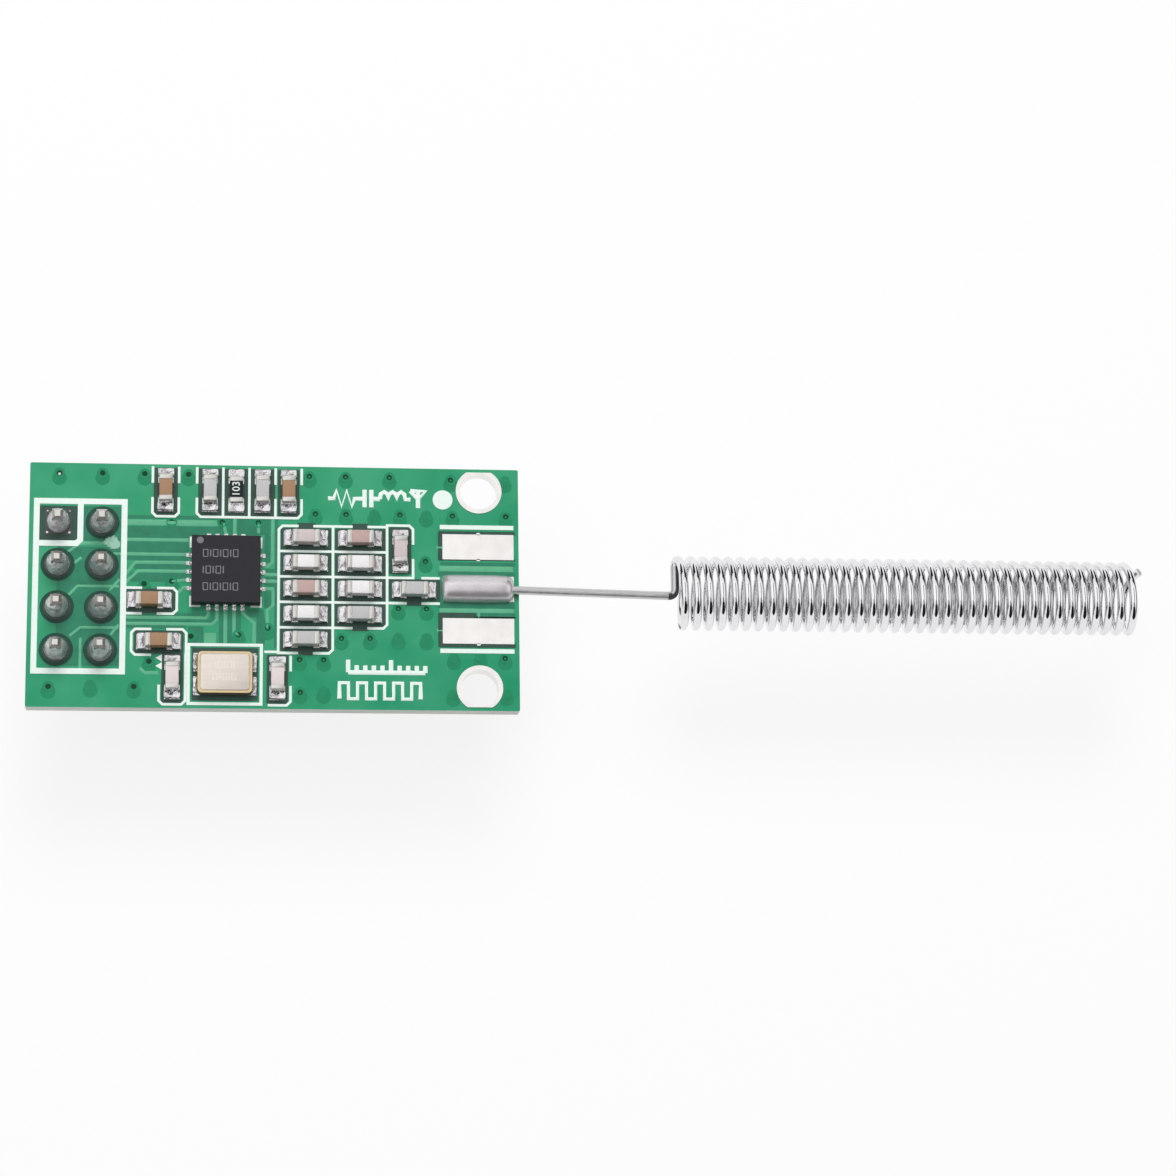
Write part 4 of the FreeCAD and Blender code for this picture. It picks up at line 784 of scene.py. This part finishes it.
# Upper row of signs: resistor zigzag, capacitor plates, coil bumps and aerial.
CIRCUIT_SIGNS = [
    [(14.4, 5.5), (14.75, 5.5), (14.9, 6.0), (15.2, 5.0), (15.5, 6.0), (15.8, 5.0), (15.95, 5.5),
     (16.45, 5.5)],
    [(16.55, 4.98), (16.55, 6.05)], [(16.95, 4.98), (16.95, 6.05)], [(17.0, 5.5), (17.45, 5.5)],
    [(17.45, 5.5), (17.5, 5.8), (17.7, 5.95), (17.9, 5.8), (17.95, 5.5), (18.0, 5.8), (18.2, 5.95),
     (18.4, 5.8), (18.45, 5.5), (18.5, 5.8), (18.7, 5.95), (18.9, 5.8), (18.95, 5.5), (19.25, 5.5)],
    [(19.7, 4.98), (19.7, 6.05)], [(19.25, 6.02), (20.15, 6.02), (19.7, 5.5), (19.25, 6.02)],
]
# Lower row: a scale of ticks, every fifth one long, over a train of square pulses.
SCALE_X, SCALE_Y, SCALE_STEP, TICKS = 15.6, -4.98, 0.5, 10
PULSE_X, PULSE_LOW, PULSE_HIGH, PULSE_STEP, PULSES = 15.1, -6.55, -5.6, 1.05, 5
# Two scraps of ink beside the lower chip, and the rosin that an iron left: place and width.
SCRAPS = ((4.7, -4.24), (4.7, -4.72))
RESIDUE = ((1.72, 2.66, 0.6), (2.0, 2.5, 0.62), (1.95, 2.82, 0.42), (1.5, 2.6, 0.3))


class MODULE_OT_print(bpy.types.Operator):
    """Print plain circuit signs in white ink"""
    bl_idname = "module.print"
    bl_label = "Printed signs"

    def execute(self, context):
        stroke = sizes().stroke / MM
        rise = sizes().ink_rise / MM
        drawn = list(CIRCUIT_SIGNS)
        for place in range(TICKS):
            x = SCALE_X + SCALE_STEP * place
            drawn.append([(x, SCALE_Y), (x, SCALE_Y + (0.75 if place % 5 == 0 else 0.42))])
        drawn.append([(SCALE_X, SCALE_Y), (SCALE_X + 4.5, SCALE_Y)])
        pulse = [(PULSE_X, PULSE_LOW)]
        for place in range(PULSES):
            left = PULSE_X + place * PULSE_STEP
            pulse += [(left, PULSE_HIGH), (left + 0.52, PULSE_HIGH), (left + 0.52, PULSE_LOW),
                      (left + PULSE_STEP, PULSE_LOW)]
        drawn.append(pulse[:-1])
        pieces = [strip(points, stroke, DECK, rise) for points in drawn]
        for place, (x, y) in enumerate(SCRAPS):
            scrap = disc(x, y, 0.5, DECK, rise - 0.004 * place, 3)
            shape(scrap)
            bpy.ops.transform.rotate(value=math.radians(-90), orient_axis="Z",
                                     center_override=(x * MM, y * MM, DECK * MM))
            close()
            pieces.append(scrap)
        piece = join("printed_signs", pieces)
        smooth(piece, 50)
        dress(piece, "legend_ink", "ink")
        residue = join("flux_residue", [disc(x, y, wide, DECK, 0.02 + 0.002 * place, 14)
                                        for place, (x, y, wide) in enumerate(RESIDUE)])
        shape(residue)
        bpy.ops.mesh.subdivide(number_cuts=1)
        bpy.ops.transform.vertex_random(offset=0.05 * MM, seed=4)
        close()
        dress(residue, "solder_mask", "flux")
        return {"FINISHED"}


# ------------------------------------------------------------------ the chips

CHIP_COLOUR = {
    "decoupling_capacitor": "brown", "regulator_capacitor": "grey", "bias_resistor": "film",
    "bypass_capacitor_1": "grey", "bypass_capacitor_2": "brown", "supply_capacitor_1": "brown",
    "supply_capacitor_2": "brown", "load_capacitor_1": "cream", "load_capacitor_2": "cream",
    "balun_capacitor_1": "pink", "balun_capacitor_2": "rust", "balun_capacitor_3": "grey",
    "balun_inductor_1": "white", "balun_inductor_2": "white", "filter_capacitor_1": "rust",
    "filter_capacitor_2": "grey", "filter_capacitor_3": "pink", "filter_inductor_1": "white",
    "filter_inductor_2": "white", "antenna_capacitor": "grey",
}
CHIP_SLOT = {
    "brown": "ceramic_brown", "pink": "ceramic_pink", "rust": "ceramic_pink", "cream": "ceramic_white",
    "grey": "ceramic_grey", "white": "ceramic_white", "film": "resistor_black",
}
CHIP_LONG, CHIP_WIDE = 1.6, 0.8
# How far the end caps stand proud of the ceramic.
PROUD = 0.022
# Share of a chip's height that its solder climbs, and the width of that solder.
SOLDER_CLIMB, SOLDER_WIDE = 0.55, 0.93
# Generic figures on the resistor, their height and their thickness.
FIGURES, FIGURE_TALL, FIGURE_RISE = "103", 0.62, 0.004


def chip_place(node):
    """Middle of a chip on the board, whether it stands along Y, and its height."""
    low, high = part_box(node)
    long, wide, tall = (high - low) / MM
    middle = (low + high) / 2 / MM
    return middle.x, middle.y, wide > long, tall


def model_chip(tall):
    """A chip component along X: pressed ceramic between two dipped and plated end caps."""
    size = sizes()
    cap = size.cap_length / MM
    body = block(0, 0, PROUD, CHIP_LONG - cap, CHIP_WIDE - 2 * PROUD, tall - 2 * PROUD)
    bpy.ops.mesh.bevel(offset=0.03 * MM, segments=2, affect="EDGES")
    close()
    body.data.materials.append(FINISH["brown"])
    caps = []
    for side in (-1, 1):
        end = block(side * (CHIP_LONG / 2 - cap / 2), 0, 0, cap, CHIP_WIDE, tall)
        bpy.ops.mesh.bevel(offset=size.cap_round, segments=4, affect="EDGES")
        close()
        end.data.materials.append(FINISH["cap"])
        caps.append(end)
    piece = join("chip", [body, *caps])
    smooth(piece, 50)
    return piece


class MODULE_OT_chips(bpy.types.Operator):
    """Place the chip capacitors, inductors and the resistor"""
    bl_idname = "module.chips"
    bl_label = "Chip components"

    def execute(self, context):
        masters = {}
        for node, finish in CHIP_COLOUR.items():
            x, y, along, tall = chip_place(node)
            kind = round(tall, 2)
            if kind not in masters:
                masters[kind] = model_chip(tall)
            piece = copy(masters[kind], x, y, LAND_TOP, 90 if along else 0)
            for place, material in enumerate(piece.data.materials):
                if material.name.startswith("brown"):
                    piece.data.materials[place] = FINISH[finish]
            piece.name = f"{node}_dressed"
            dress(piece, CHIP_SLOT[finish], replaces=(node,))
        discard(*masters.values())
        # The figures read along the board's short side.
        x, y, _, tall = chip_place("bias_resistor")
        clear_selection()
        bpy.ops.object.text_add(location=(0, 0, 0))
        figures = bpy.context.object
        figures.data.body = FIGURES
        figures.data.size = FIGURE_TALL * MM
        figures.data.extrude = FIGURE_RISE * MM
        figures.data.align_x = "CENTER"
        figures.data.align_y = "CENTER"
        bpy.ops.object.convert(target="MESH")
        figures = bpy.context.object
        figures.location = (x * MM, y * MM, (LAND_TOP + tall) * MM)
        figures.rotation_euler = (0, 0, math.radians(90))
        bpy.ops.object.transform_apply(location=True, rotation=True, scale=True)
        figures.name = "resistor_figures"
        dress(figures, "legend_ink", "ink")
        return {"FINISHED"}


def model_fillet(rise, toe, wide):
    """A hollow solder fillet along X from an end cap at 0 down to its toe, thicker at its two corners."""
    piece = block(toe / 2, 0, -0.02, toe + 0.06, wide, rise + 0.02)
    bpy.ops.mesh.subdivide(number_cuts=3)
    for reach, share in ((0.2, 0.72), (0.45, 0.6), (0.7, 0.85)):
        # Everything past each line sinks, so the solder hollows towards its toe.
        select_faces(lambda place, normal: normal.z > 0.2 and place.x > reach * toe)
        bpy.ops.transform.resize(value=(1, 1, share), center_override=(0, 0, 0))
    select_faces(lambda place, normal: (normal.z > 0.2 and place.x > 0.5 * toe
                                        and abs(place.y) > 0.25 * wide))
    bpy.ops.transform.translate(value=(0, 0, 0.1 * MM))
    close(outward=True)
    return piece


class MODULE_OT_fillets(bpy.types.Operator):
    """Run solder from every end cap down to its land"""
    bl_idname = "module.fillets"
    bl_label = "Chip solder"

    def execute(self, context):
        toe = sizes().fillet_toe / MM
        fillets = []
        masters = {}
        for node in CHIP_COLOUR:
            x, y, along, tall = chip_place(node)
            rise = round(tall * SOLDER_CLIMB, 3)
            if rise not in masters:
                masters[rise] = model_fillet(rise, toe, SOLDER_WIDE)
            for turn in (0, 180):
                degrees = turn + (90 if along else 0)
                angle = math.radians(degrees)
                fillets.append(copy(masters[rise], x + CHIP_LONG / 2 * math.cos(angle),
                                    y + CHIP_LONG / 2 * math.sin(angle), LAND_TOP, degrees))
        discard(*masters.values())
        # The crystal's four corners are soldered in the same way.
        low, high = (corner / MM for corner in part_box("crystal_tray"))
        corner = model_fillet(0.42, 0.22, 0.85)
        for x, turn in ((low.x, 180), (high.x, 0)):
            for y in (low.y + 0.55, high.y - 0.55):
                fillets.append(copy(corner, x, y, LAND_TOP, turn))
        discard(corner)
        piece = join("chip_fillets", fillets)
        # Each joint froze a little differently.
        shape(piece)
        bpy.ops.transform.vertex_random(offset=0.04 * MM, seed=5)
        close(outward=True)
        refine(piece, 2)
        smooth(piece, 80)
        dress(piece, "solder", "solder", replaces=("chip_solder", "crystal_solder"))
        return {"FINISHED"}


# ------------------------------------------------- package, crystal and header

# Thin boxes and bars, in an arrangement of their own: a bar is a box without a width.
PACKAGE_ROWS = (
    (1.85, (0.26, 0, 0.26, 0, 0.26, 0, 0.26)),
    (0.85, (0, 0.26, 0, 0.26, 0)),
    (-0.15, (0.26, 0, 0.26, 0, 0.26, 0, 0.26)),
)
PACKAGE_LEFT, PACKAGE_TALL, PACKAGE_GAP = 7.14, 0.42, 0.16
LID_ROWS = ((-4.76, (0, 0.24, 0, 0.24, 0)), (-5.48, (0.24, 0, 0.24, 0, 0.24)))
LID_MIDDLE, LID_TALL, LID_GAP = 8.5, 0.38, 0.15
MARK_STROKE, MARK_RISE = 0.07, 0.003
# The package's leads along a side, and how far out from its middle their solder lies.
LEAD_STEPS = (-1.0, -0.5, 0.0, 0.5, 1.0)
TOE_OUT = 1.97


def mark_row(x, y, widths, gap, tall, level):
    """A row of thin boxes and bars from its left end."""
    made = []
    low, high = y - tall / 2, y + tall / 2
    for wide in widths:
        corners = [(x, low), (x, high)]
        if wide:
            corners = [(x, low), (x + wide, low), (x + wide, high), (x, high), (x, low)]
        made.append(strip(corners, MARK_STROKE, level, MARK_RISE))
        x += wide + gap
    return made


class MODULE_OT_package(bpy.types.Operator):
    """Mark the square package and run solder to its leads"""
    bl_idname = "module.package"
    bl_label = "Package"

    def execute(self, context):
        low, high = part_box("transceiver_package")
        middle = (low + high) / 2 / MM
        marks = [disc(6.95, 2.62, 0.4, PACKAGE_TOP, 0.004, 28)]
        for y, widths in PACKAGE_ROWS:
            marks += mark_row(PACKAGE_LEFT, y, widths, PACKAGE_GAP, PACKAGE_TALL, PACKAGE_TOP)
        dress(join("package_marks", marks), "package_epoxy", "mark")
        # One toe of solder, low at its outer end, copied to the five leads of each side.
        toe = block(0.06, 0, 0, 0.22, 0.2, 0.17)
        select_faces(lambda place, normal: normal.x > FACING)
        bpy.ops.transform.resize(value=(1, 0.9, 0.45), center_override=(0, 0, 0))
        bpy.ops.mesh.select_all(action="SELECT")
        bpy.ops.mesh.bevel(offset=0.05 * MM, segments=3, affect="EDGES")
        close()
        smooth(toe, 60)
        toes = []
        for quarter in range(4):
            turn = Matrix.Rotation(math.radians(90 * quarter), 2)
            for step in LEAD_STEPS:
                out = turn @ Vector((TOE_OUT, step))
                toes.append(copy(toe, middle.x + out.x, middle.y + out.y, LAND_TOP, 90 * quarter))
        discard(toe)
        dress(join("package_toes", toes), "solder", "solder", replaces=("transceiver_solder",))
        return {"FINISHED"}


class MODULE_OT_crystal(bpy.types.Operator):
    """Weld the lid on the crystal and mark it faintly"""
    bl_idname = "module.crystal"
    bl_label = "Crystal"

    def execute(self, context):
        low, high = (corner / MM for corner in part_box("crystal_lid"))
        thick = high.z - low.z
        lid = tile(low.x, low.y, high.x, high.y, low.z, thick, 0.2)
        shape(lid)
        select_faces(lambda place, normal: normal.z > FACING)
        bpy.ops.mesh.bevel(offset=0.06 * MM, segments=3, affect="EDGES")
        close()
        smooth(lid, 50)
        lid.name = "crystal_lid_dressed"
        dress(lid, "crystal_metal", "lid", replaces=("crystal_lid",))
        marks = []
        for y, widths in LID_ROWS:
            left = LID_MIDDLE - sum(wide + LID_GAP for wide in widths) / 2
            marks += mark_row(left, y, widths, LID_GAP, LID_TALL, high.z)
        dress(join("lid_marks", marks), "crystal_metal", "lid_mark")
        return {"FINISHED"}


# A header joint from its land upwards: share of its foot's radius, share of its height.
JOINT_PROFILE = ((1.0, 0.06), (0.95, 0.2), (0.88, 0.4), (0.8, 0.6), (0.68, 0.8), (0.52, 0.98), (0.36, 1.12),
                 (0.2, 1.2))
# Points of solder on the corners of the square first land, from its middle, with their widths.
CORNER_POINTS = ((-0.64, 0.64, 0.13), (0.64, 0.64, 0.13), (-0.64, -0.64, 0.2), (0.64, -0.64, 0.2))


class MODULE_OT_header(bpy.types.Operator):
    """Solder the eight pins of the header to their lands"""
    bl_idname = "module.header"
    bl_label = "Header joints"

    def execute(self, context):
        foot = sizes().joint_foot / 2
        low, high = (corner.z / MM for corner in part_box("header_solder"))
        tall = high - low
        clear_selection()
        bpy.ops.mesh.primitive_circle_add(vertices=12, radius=foot, fill_type="NGON")
        joint = bpy.context.object
        shape(joint)
        radius, level = foot, 0.0
        for share, height in JOINT_PROFILE:
            wide = foot * share
            bpy.ops.mesh.extrude_region_move(
                TRANSFORM_OT_translate={"value": (0, 0, (height - level) * tall * MM)})
            bpy.ops.transform.resize(value=(wide / radius, wide / radius, 1), center_override=(0, 0, 0))
            radius, level = wide, height
        close(outward=True)
        joints = []
        for place in range(8):
            pin_low, pin_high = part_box(f"header_pin_{place + 1}")
            spot = (pin_low + pin_high) / 2 / MM
            piece = copy(joint, spot.x, spot.y, low, 37 * place)
            # Every joint froze with its own dents.
            shape(piece)
            bpy.ops.transform.vertex_random(offset=0.06 * MM, seed=11 + place)
            close()
            joints.append(piece)
            if place == 0:
                joints += [disc(spot.x + x, spot.y + y, wide, LAND_TOP, 0.1, 8)
                           for x, y, wide in CORNER_POINTS]
        discard(joint)
        piece = join("header_joints", joints)
        refine(piece, 2)
        smooth(piece, 80)
        dress(piece, "solder", "joint", replaces=("header_solder",))
        return {"FINISHED"}


# ---------------------------------------------------------------- the antenna

# The lead: its buried end, the end of its land, and its line.
LEAD_START, LEAD_EXIT = 21.93, 25.33
LEAD_Y, LEAD_Z = -0.0175, 9.85
# The start of the coil's axis.
AXIS_X, AXIS_Y, AXIS_Z = 34.98, 0.1625, 8.9
# How the wire enters the coil, how far its end is sprung out, and the first bend's run.
ENTRY, SHIFT, TAIL, BEND = 0.5, 0.1, 0.6, 0.45
# Degrees of the last, open turn, and steps in a turn.
LAST_TURN = 340
STEPS = 32


def rounded(before, corner, after, run, count=6):
    """Points that take a corner smoothly, starting run before it and ending run after it."""
    before, corner, after = Vector(before), Vector(corner), Vector(after)
    first = corner + (before - corner).normalized() * run
    last = corner + (after - corner).normalized() * run
    points = []
    for place in range(count + 1):
        share = place / count
        points.append(first.lerp(corner, share).lerp(corner.lerp(last, share), share))
    return points


def antenna_route():
    """Where the spring wire runs, from its buried end to its sprung cut end, in millimetres."""
    size = sizes()
    radius, pitch = size.coil / 2 / MM, size.pitch / MM
    first_angle = math.asin(ENTRY / radius)
    last_angle = 2 * math.pi * size.turns + math.radians(LAST_TURN)

    def wound(angle):
        sprung = max(0.0, 1 - (last_angle - angle) / math.radians(60))
        along = SHIFT + pitch * angle / (2 * math.pi) + TAIL * sprung ** 2
        return Vector((AXIS_X + along, AXIS_Y + radius * math.cos(angle), AXIS_Z + radius * math.sin(angle)))

    knee = Vector((AXIS_X, LEAD_Y, AXIS_Z))
    crest = Vector((AXIS_X, AXIS_Y + radius / math.cos(first_angle), AXIS_Z))
    tangent = wound(first_angle)
    leave = (tangent - crest).length
    points = [Vector((LEAD_START, LEAD_Y, LEAD_Z)), Vector((LEAD_EXIT - 0.4, LEAD_Y, LEAD_Z))]
    points += rounded(points[0], (LEAD_EXIT, LEAD_Y, LEAD_Z), knee, 0.2, 3)
    points += rounded((LEAD_EXIT, LEAD_Y, LEAD_Z), knee, crest, BEND)
    points += rounded(knee, crest, tangent, leave)
    count = round((last_angle - first_angle) / (2 * math.pi) * STEPS)
    for place in range(1, count + 1):
        points.append(wound(first_angle + (last_angle - first_angle) * place / count))
    return points


class MODULE_OT_antenna(bpy.types.Operator):
    """Wind the spring antenna from one wire"""
    bl_idname = "module.antenna"
    bl_label = "Spring antenna"

    def execute(self, context):
        piece = line(antenna_route(), sizes().wire / MM, 6)
        piece.name = "spring_antenna"
        shape(piece)
        close(outward=True)
        smooth(piece, 60)
        dress(piece, "antenna_wire", "spring", "lead", "bend_shade", replaces=("antenna",))
        # Greyer and duller up to the bend and at the cut end; painted shade on the far side of the bend.
        for face in piece.data.polygons:
            place = face.center / MM
            if place.x < AXIS_X - 0.55 or place.x > CAD_BOX[1][0] / MM - 0.3:
                face.material_index = 1
            elif place.x < AXIS_X + 0.3 and place.y < AXIS_Y + 1.6 and place.z < AXIS_Z + 0.35:
                # Painted shade: the bend's faces that turn to +X, or lie at the front, take the dark finish.
                dark = face.normal.x > 0.1 or place.y < 0.1 and face.normal.y < 0.4
                face.material_index = 2 if dark else 1
        return {"FINISHED"}


class MODULE_OT_antenna_joint(bpy.types.Operator):
    """Seat the antenna's straight end in its solder"""
    bl_idname = "module.antenna_joint"
    bl_label = "Antenna solder"

    def execute(self, context):
        low, high = (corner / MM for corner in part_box("antenna_land"))
        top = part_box("antenna_solder")[1].z / MM
        middle = (low + high) / 2
        # A half-round bead along the wire: a lying cylinder whose lower half is pressed flat.
        clear_selection()
        bpy.ops.mesh.primitive_cylinder_add(vertices=20, radius=1, depth=1,
                                            rotation=(0, math.radians(90), 0))
        hump = bpy.context.object
        bpy.ops.object.transform_apply(location=True, rotation=True, scale=True)
        hump.scale = (high.x - low.x - 1.1, 0.56 * (high.y - low.y), top - low.z)
        hump.scale *= MM
        hump.location = ((middle.x - 0.05) * MM, middle.y * MM, low.z * MM)
        bpy.ops.object.transform_apply(location=True, rotation=True, scale=True)
        shape(hump)
        for side, steps in ((-1, ((0.44, 0.97), (0.14, 0.82))), (1, ((0.3, 0.93), (0.3, 0.72)))):
            select_faces(lambda place, normal: normal.x * side > FACING)
            for forward, share in steps:
                bpy.ops.mesh.extrude_region_move(
                    TRANSFORM_OT_translate={"value": (side * forward * MM, 0, 0)})
                bpy.ops.transform.resize(value=(1, share, share),
                                         center_override=(0, middle.y * MM, low.z * MM))
        select_faces(lambda place, normal: place.z < low.z - 0.02)
        bpy.ops.transform.resize(value=(1, 1, 0.05), center_override=(0, 0, low.z * MM))
        bpy.ops.mesh.select_all(action="SELECT")
        bpy.ops.transform.vertex_random(offset=0.012 * MM, seed=7)
        close(outward=True)
        refine(hump, 1)
        smooth(hump, 80)
        hump.name = "antenna_solder_dressed"
        dress(hump, "solder", "hump", replaces=("antenna_solder",))
        return {"FINISHED"}


# ------------------------------------------------------------------ the stage

def panel(name, place, target, wide, high, code, power):
    """A plain studio card that only mirrors see, facing a point."""
    clear_selection()
    bpy.ops.mesh.primitive_plane_add(size=1)
    card = bpy.context.object
    card.name = name
    card.rotation_euler = (Vector(target) - Vector(place)).to_track_quat("Z", "Y").to_euler()
    card.scale = (wide, high, 1)
    card.location = place
    card.visible_camera = card.visible_diffuse = card.visible_shadow = False
    card.visible_transmission = False
    material = bpy.data.materials.new(name)
    tree = blank(material)
    glow = add(tree, "ShaderNodeEmission", {"Color": linear(code), "Strength": power}, "Emission")
    add(tree, "ShaderNodeOutputMaterial", {"Surface": glow})
    card.data.materials.append(material)


def lamp(name, place, target, wide, power):
    """A round soft lamp that faces a point and doesn't show in the metal."""
    clear_selection()
    bpy.ops.object.light_add(type="AREA", location=place)
    light = bpy.context.object
    light.name = name
    light.data.shape = "DISK"
    light.data.size = wide
    light.data.energy = power
    # The white world stands for the lamps in the metal.
    light.visible_glossy = False
    light.rotation_euler = (Vector(place) - Vector(target)).to_track_quat("Z", "Y").to_euler()


def seen_directly(tree):
    """One for rays from the camera, a mirror or through glass, and nothing for soft light."""
    path = add(tree, "ShaderNodeLightPath")
    seen = path.outputs["Is Camera Ray"]
    for kind in ("Is Glossy Ray", "Is Transmission Ray"):
        seen = add(tree, "ShaderNodeMath", {0: seen, 1: path.outputs[kind]}, "Value", operation="MAXIMUM")
    return seen


# Studio cards: name, middle, what it faces, width, height, colour and strength. Dark ones give the
# bright metal its dark bands.
CARDS = (
    ("front_card_low", (0.11, -0.2, 0.15), (0.11, 0, 0.15), 0.34, 0.215, "#1E1C1E", 1.0),
    ("front_card_high", (0.11, -0.2, 0.355), (0.11, 0, 0.355), 0.24, 0.19, "#6A686A", 1.0),
    ("back_card_left", (-0.25, 0.216, 0.085), (-0.25, 0, 0.085), 0.5, 0.17, "#2A282C", 1.0),
    ("back_card_right", (0.36, 0.216, 0.085), (0.36, 0, 0.085), 0.5, 0.17, "#121214", 1.0),
    ("back_card_high", (0.37, 0.216, 0.215), (0.37, 0, 0.215), 0.5, 0.09, "#4E4C50", 1.0),
    ("left_card", (-0.26, 0, 0.07), (0.02, 0, 0.01), 0.4, 0.13, "#3A383C", 1.0),
    ("right_card", (0.36, 0, 0.07), (0.04, 0, 0.01), 0.44, 0.13, "#2E2C2E", 1.0),
    ("strip_card", (0.18, -0.1, 0.5), (0.18, -0.1, 0.0), 0.15, 0.6, "#4A484C", 1.0),
    ("ceiling", (0.08, -0.02, 0.62), (0.08, -0.02, 0.0), 1.2, 0.62, "#FFFFFF", 1.15),
)
# Lamps: name, place, width and power.
LAMPS = (
    ("key_light", (0.02, 0.22, 0.34), 0.22, 1.1),
    ("fill_light", (-0.1, 0.02, 0.36), 0.2, 0.3),
)
WHITE = (1, 1, 1, 1)
# Share of the paper's white that is its own, so that the shadow stays faint; the world's soft light.
PAPER_GLOW = 0.85
WORLD_SOFT = 0.27
# The camera that the photograph was fitted with: lens on a 36 mm sensor, and its place.
SENSOR, LENS = 36, 112.57
CAMERA_PLACE = (
    (0.9939, -0.0129, -0.1099, 0.00589),
    (-0.0139, 0.9706, -0.2401, -0.05180),
    (0.1098, 0.2402, 0.9645, 0.21862),
    (0, 0, 0, 1),
)


class MODULE_OT_stage(bpy.types.Operator):
    """Set the floor, the studio light and the camera"""
    bl_idname = "module.stage"
    bl_label = "Stage"

    def execute(self, context):
        scene = context.scene
        middle = ((CAD_BOX[0][0] + CAD_BOX[1][0]) / 2, 0.0, 0.0095)
        clear_selection()
        bpy.ops.mesh.primitive_plane_add(size=3, location=(0.03, 0, 0))
        floor = context.object
        floor.name = "floor"
        paper = bpy.data.materials.new("white_studio_paper")
        tree = blank(paper)
        share = add(tree, "ShaderNodeMath", {0: seen_directly(tree), 1: PAPER_GLOW}, "Value",
                    operation="MULTIPLY")
        matt = add(tree, "ShaderNodeBsdfDiffuse", {"Color": linear("#F4F4F4")}, "BSDF")
        white = add(tree, "ShaderNodeEmission", {"Color": WHITE, "Strength": 1.0}, "Emission")
        mixed = add(tree, "ShaderNodeMixShader", {0: share, 1: matt, 2: white}, "Shader")
        add(tree, "ShaderNodeOutputMaterial", {"Surface": mixed})
        floor.data.materials.append(paper)

        scene.world = bpy.data.worlds.new("studio")
        tree = blank(scene.world)
        soft = add(tree, "ShaderNodeBackground", {"Color": WHITE, "Strength": WORLD_SOFT}, "Background")
        white = add(tree, "ShaderNodeBackground", {"Color": WHITE, "Strength": 1.0}, "Background")
        mixed = add(tree, "ShaderNodeMixShader", {0: seen_directly(tree), 1: soft, 2: white}, "Shader")
        add(tree, "ShaderNodeOutputWorld", {"Surface": mixed})

        for name, place, wide, power in LAMPS:
            lamp(name, place, middle, wide, power)
        for card in CARDS:
            panel(*card)

        clear_selection()
        bpy.ops.object.camera_add()
        camera = context.object
        camera.data.sensor_width = SENSOR
        camera.data.lens = LENS
        camera.data.clip_start = 0.01
        camera.data.clip_end = 10
        camera.matrix_world = Matrix(CAMERA_PLACE)
        scene.camera = camera
        scene.view_settings.view_transform = "Standard"
        return {"FINISHED"}


# ---------------------------------------------------------------- the add-on

OPERATORS = (
    MODULE_OT_board, MODULE_OT_etched, MODULE_OT_tracks, MODULE_OT_vias, MODULE_OT_print, MODULE_OT_chips,
    MODULE_OT_fillets, MODULE_OT_package, MODULE_OT_crystal, MODULE_OT_header, MODULE_OT_antenna_joint,
    MODULE_OT_antenna, MODULE_OT_stage,
)


class MODULE_PT_panel(bpy.types.Panel):
    """Lists the steps that dress the module, and its sizes and colours"""
    bl_label = "Radio Module"
    bl_space_type = "VIEW_3D"
    bl_region_type = "UI"
    bl_category = "Radio Module"

    def draw(self, context):
        layout = self.layout
        for operator in OPERATORS:
            layout.operator(operator.bl_idname)
        for group in (context.scene.module_sizes, context.scene.module_colours):
            box = layout.box()
            for name in group.bl_rna.properties.keys():
                if name not in ("rna_type", "name"):
                    box.prop(group, name)


CLASSES = (ModuleSizes, ModuleColours, *OPERATORS, MODULE_PT_panel)


def register():
    for made in CLASSES:
        bpy.utils.register_class(made)
    bpy.types.Scene.module_sizes = PointerProperty(type=ModuleSizes)
    bpy.types.Scene.module_colours = PointerProperty(type=ModuleColours)


def unregister():
    del bpy.types.Scene.module_colours
    del bpy.types.Scene.module_sizes
    for made in reversed(CLASSES):
        bpy.utils.unregister_class(made)


def main():
    register()
    bpy.ops.module.board()
    bpy.ops.module.etched()
    bpy.ops.module.tracks()
    bpy.ops.module.vias()
    bpy.ops.module.print()
    bpy.ops.module.chips()
    bpy.ops.module.fillets()
    bpy.ops.module.package()
    bpy.ops.module.crystal()
    bpy.ops.module.header()
    bpy.ops.module.antenna_joint()
    bpy.ops.module.antenna()
    bpy.ops.module.stage()
    clear_selection()


if __name__ == "__main__":
    main()
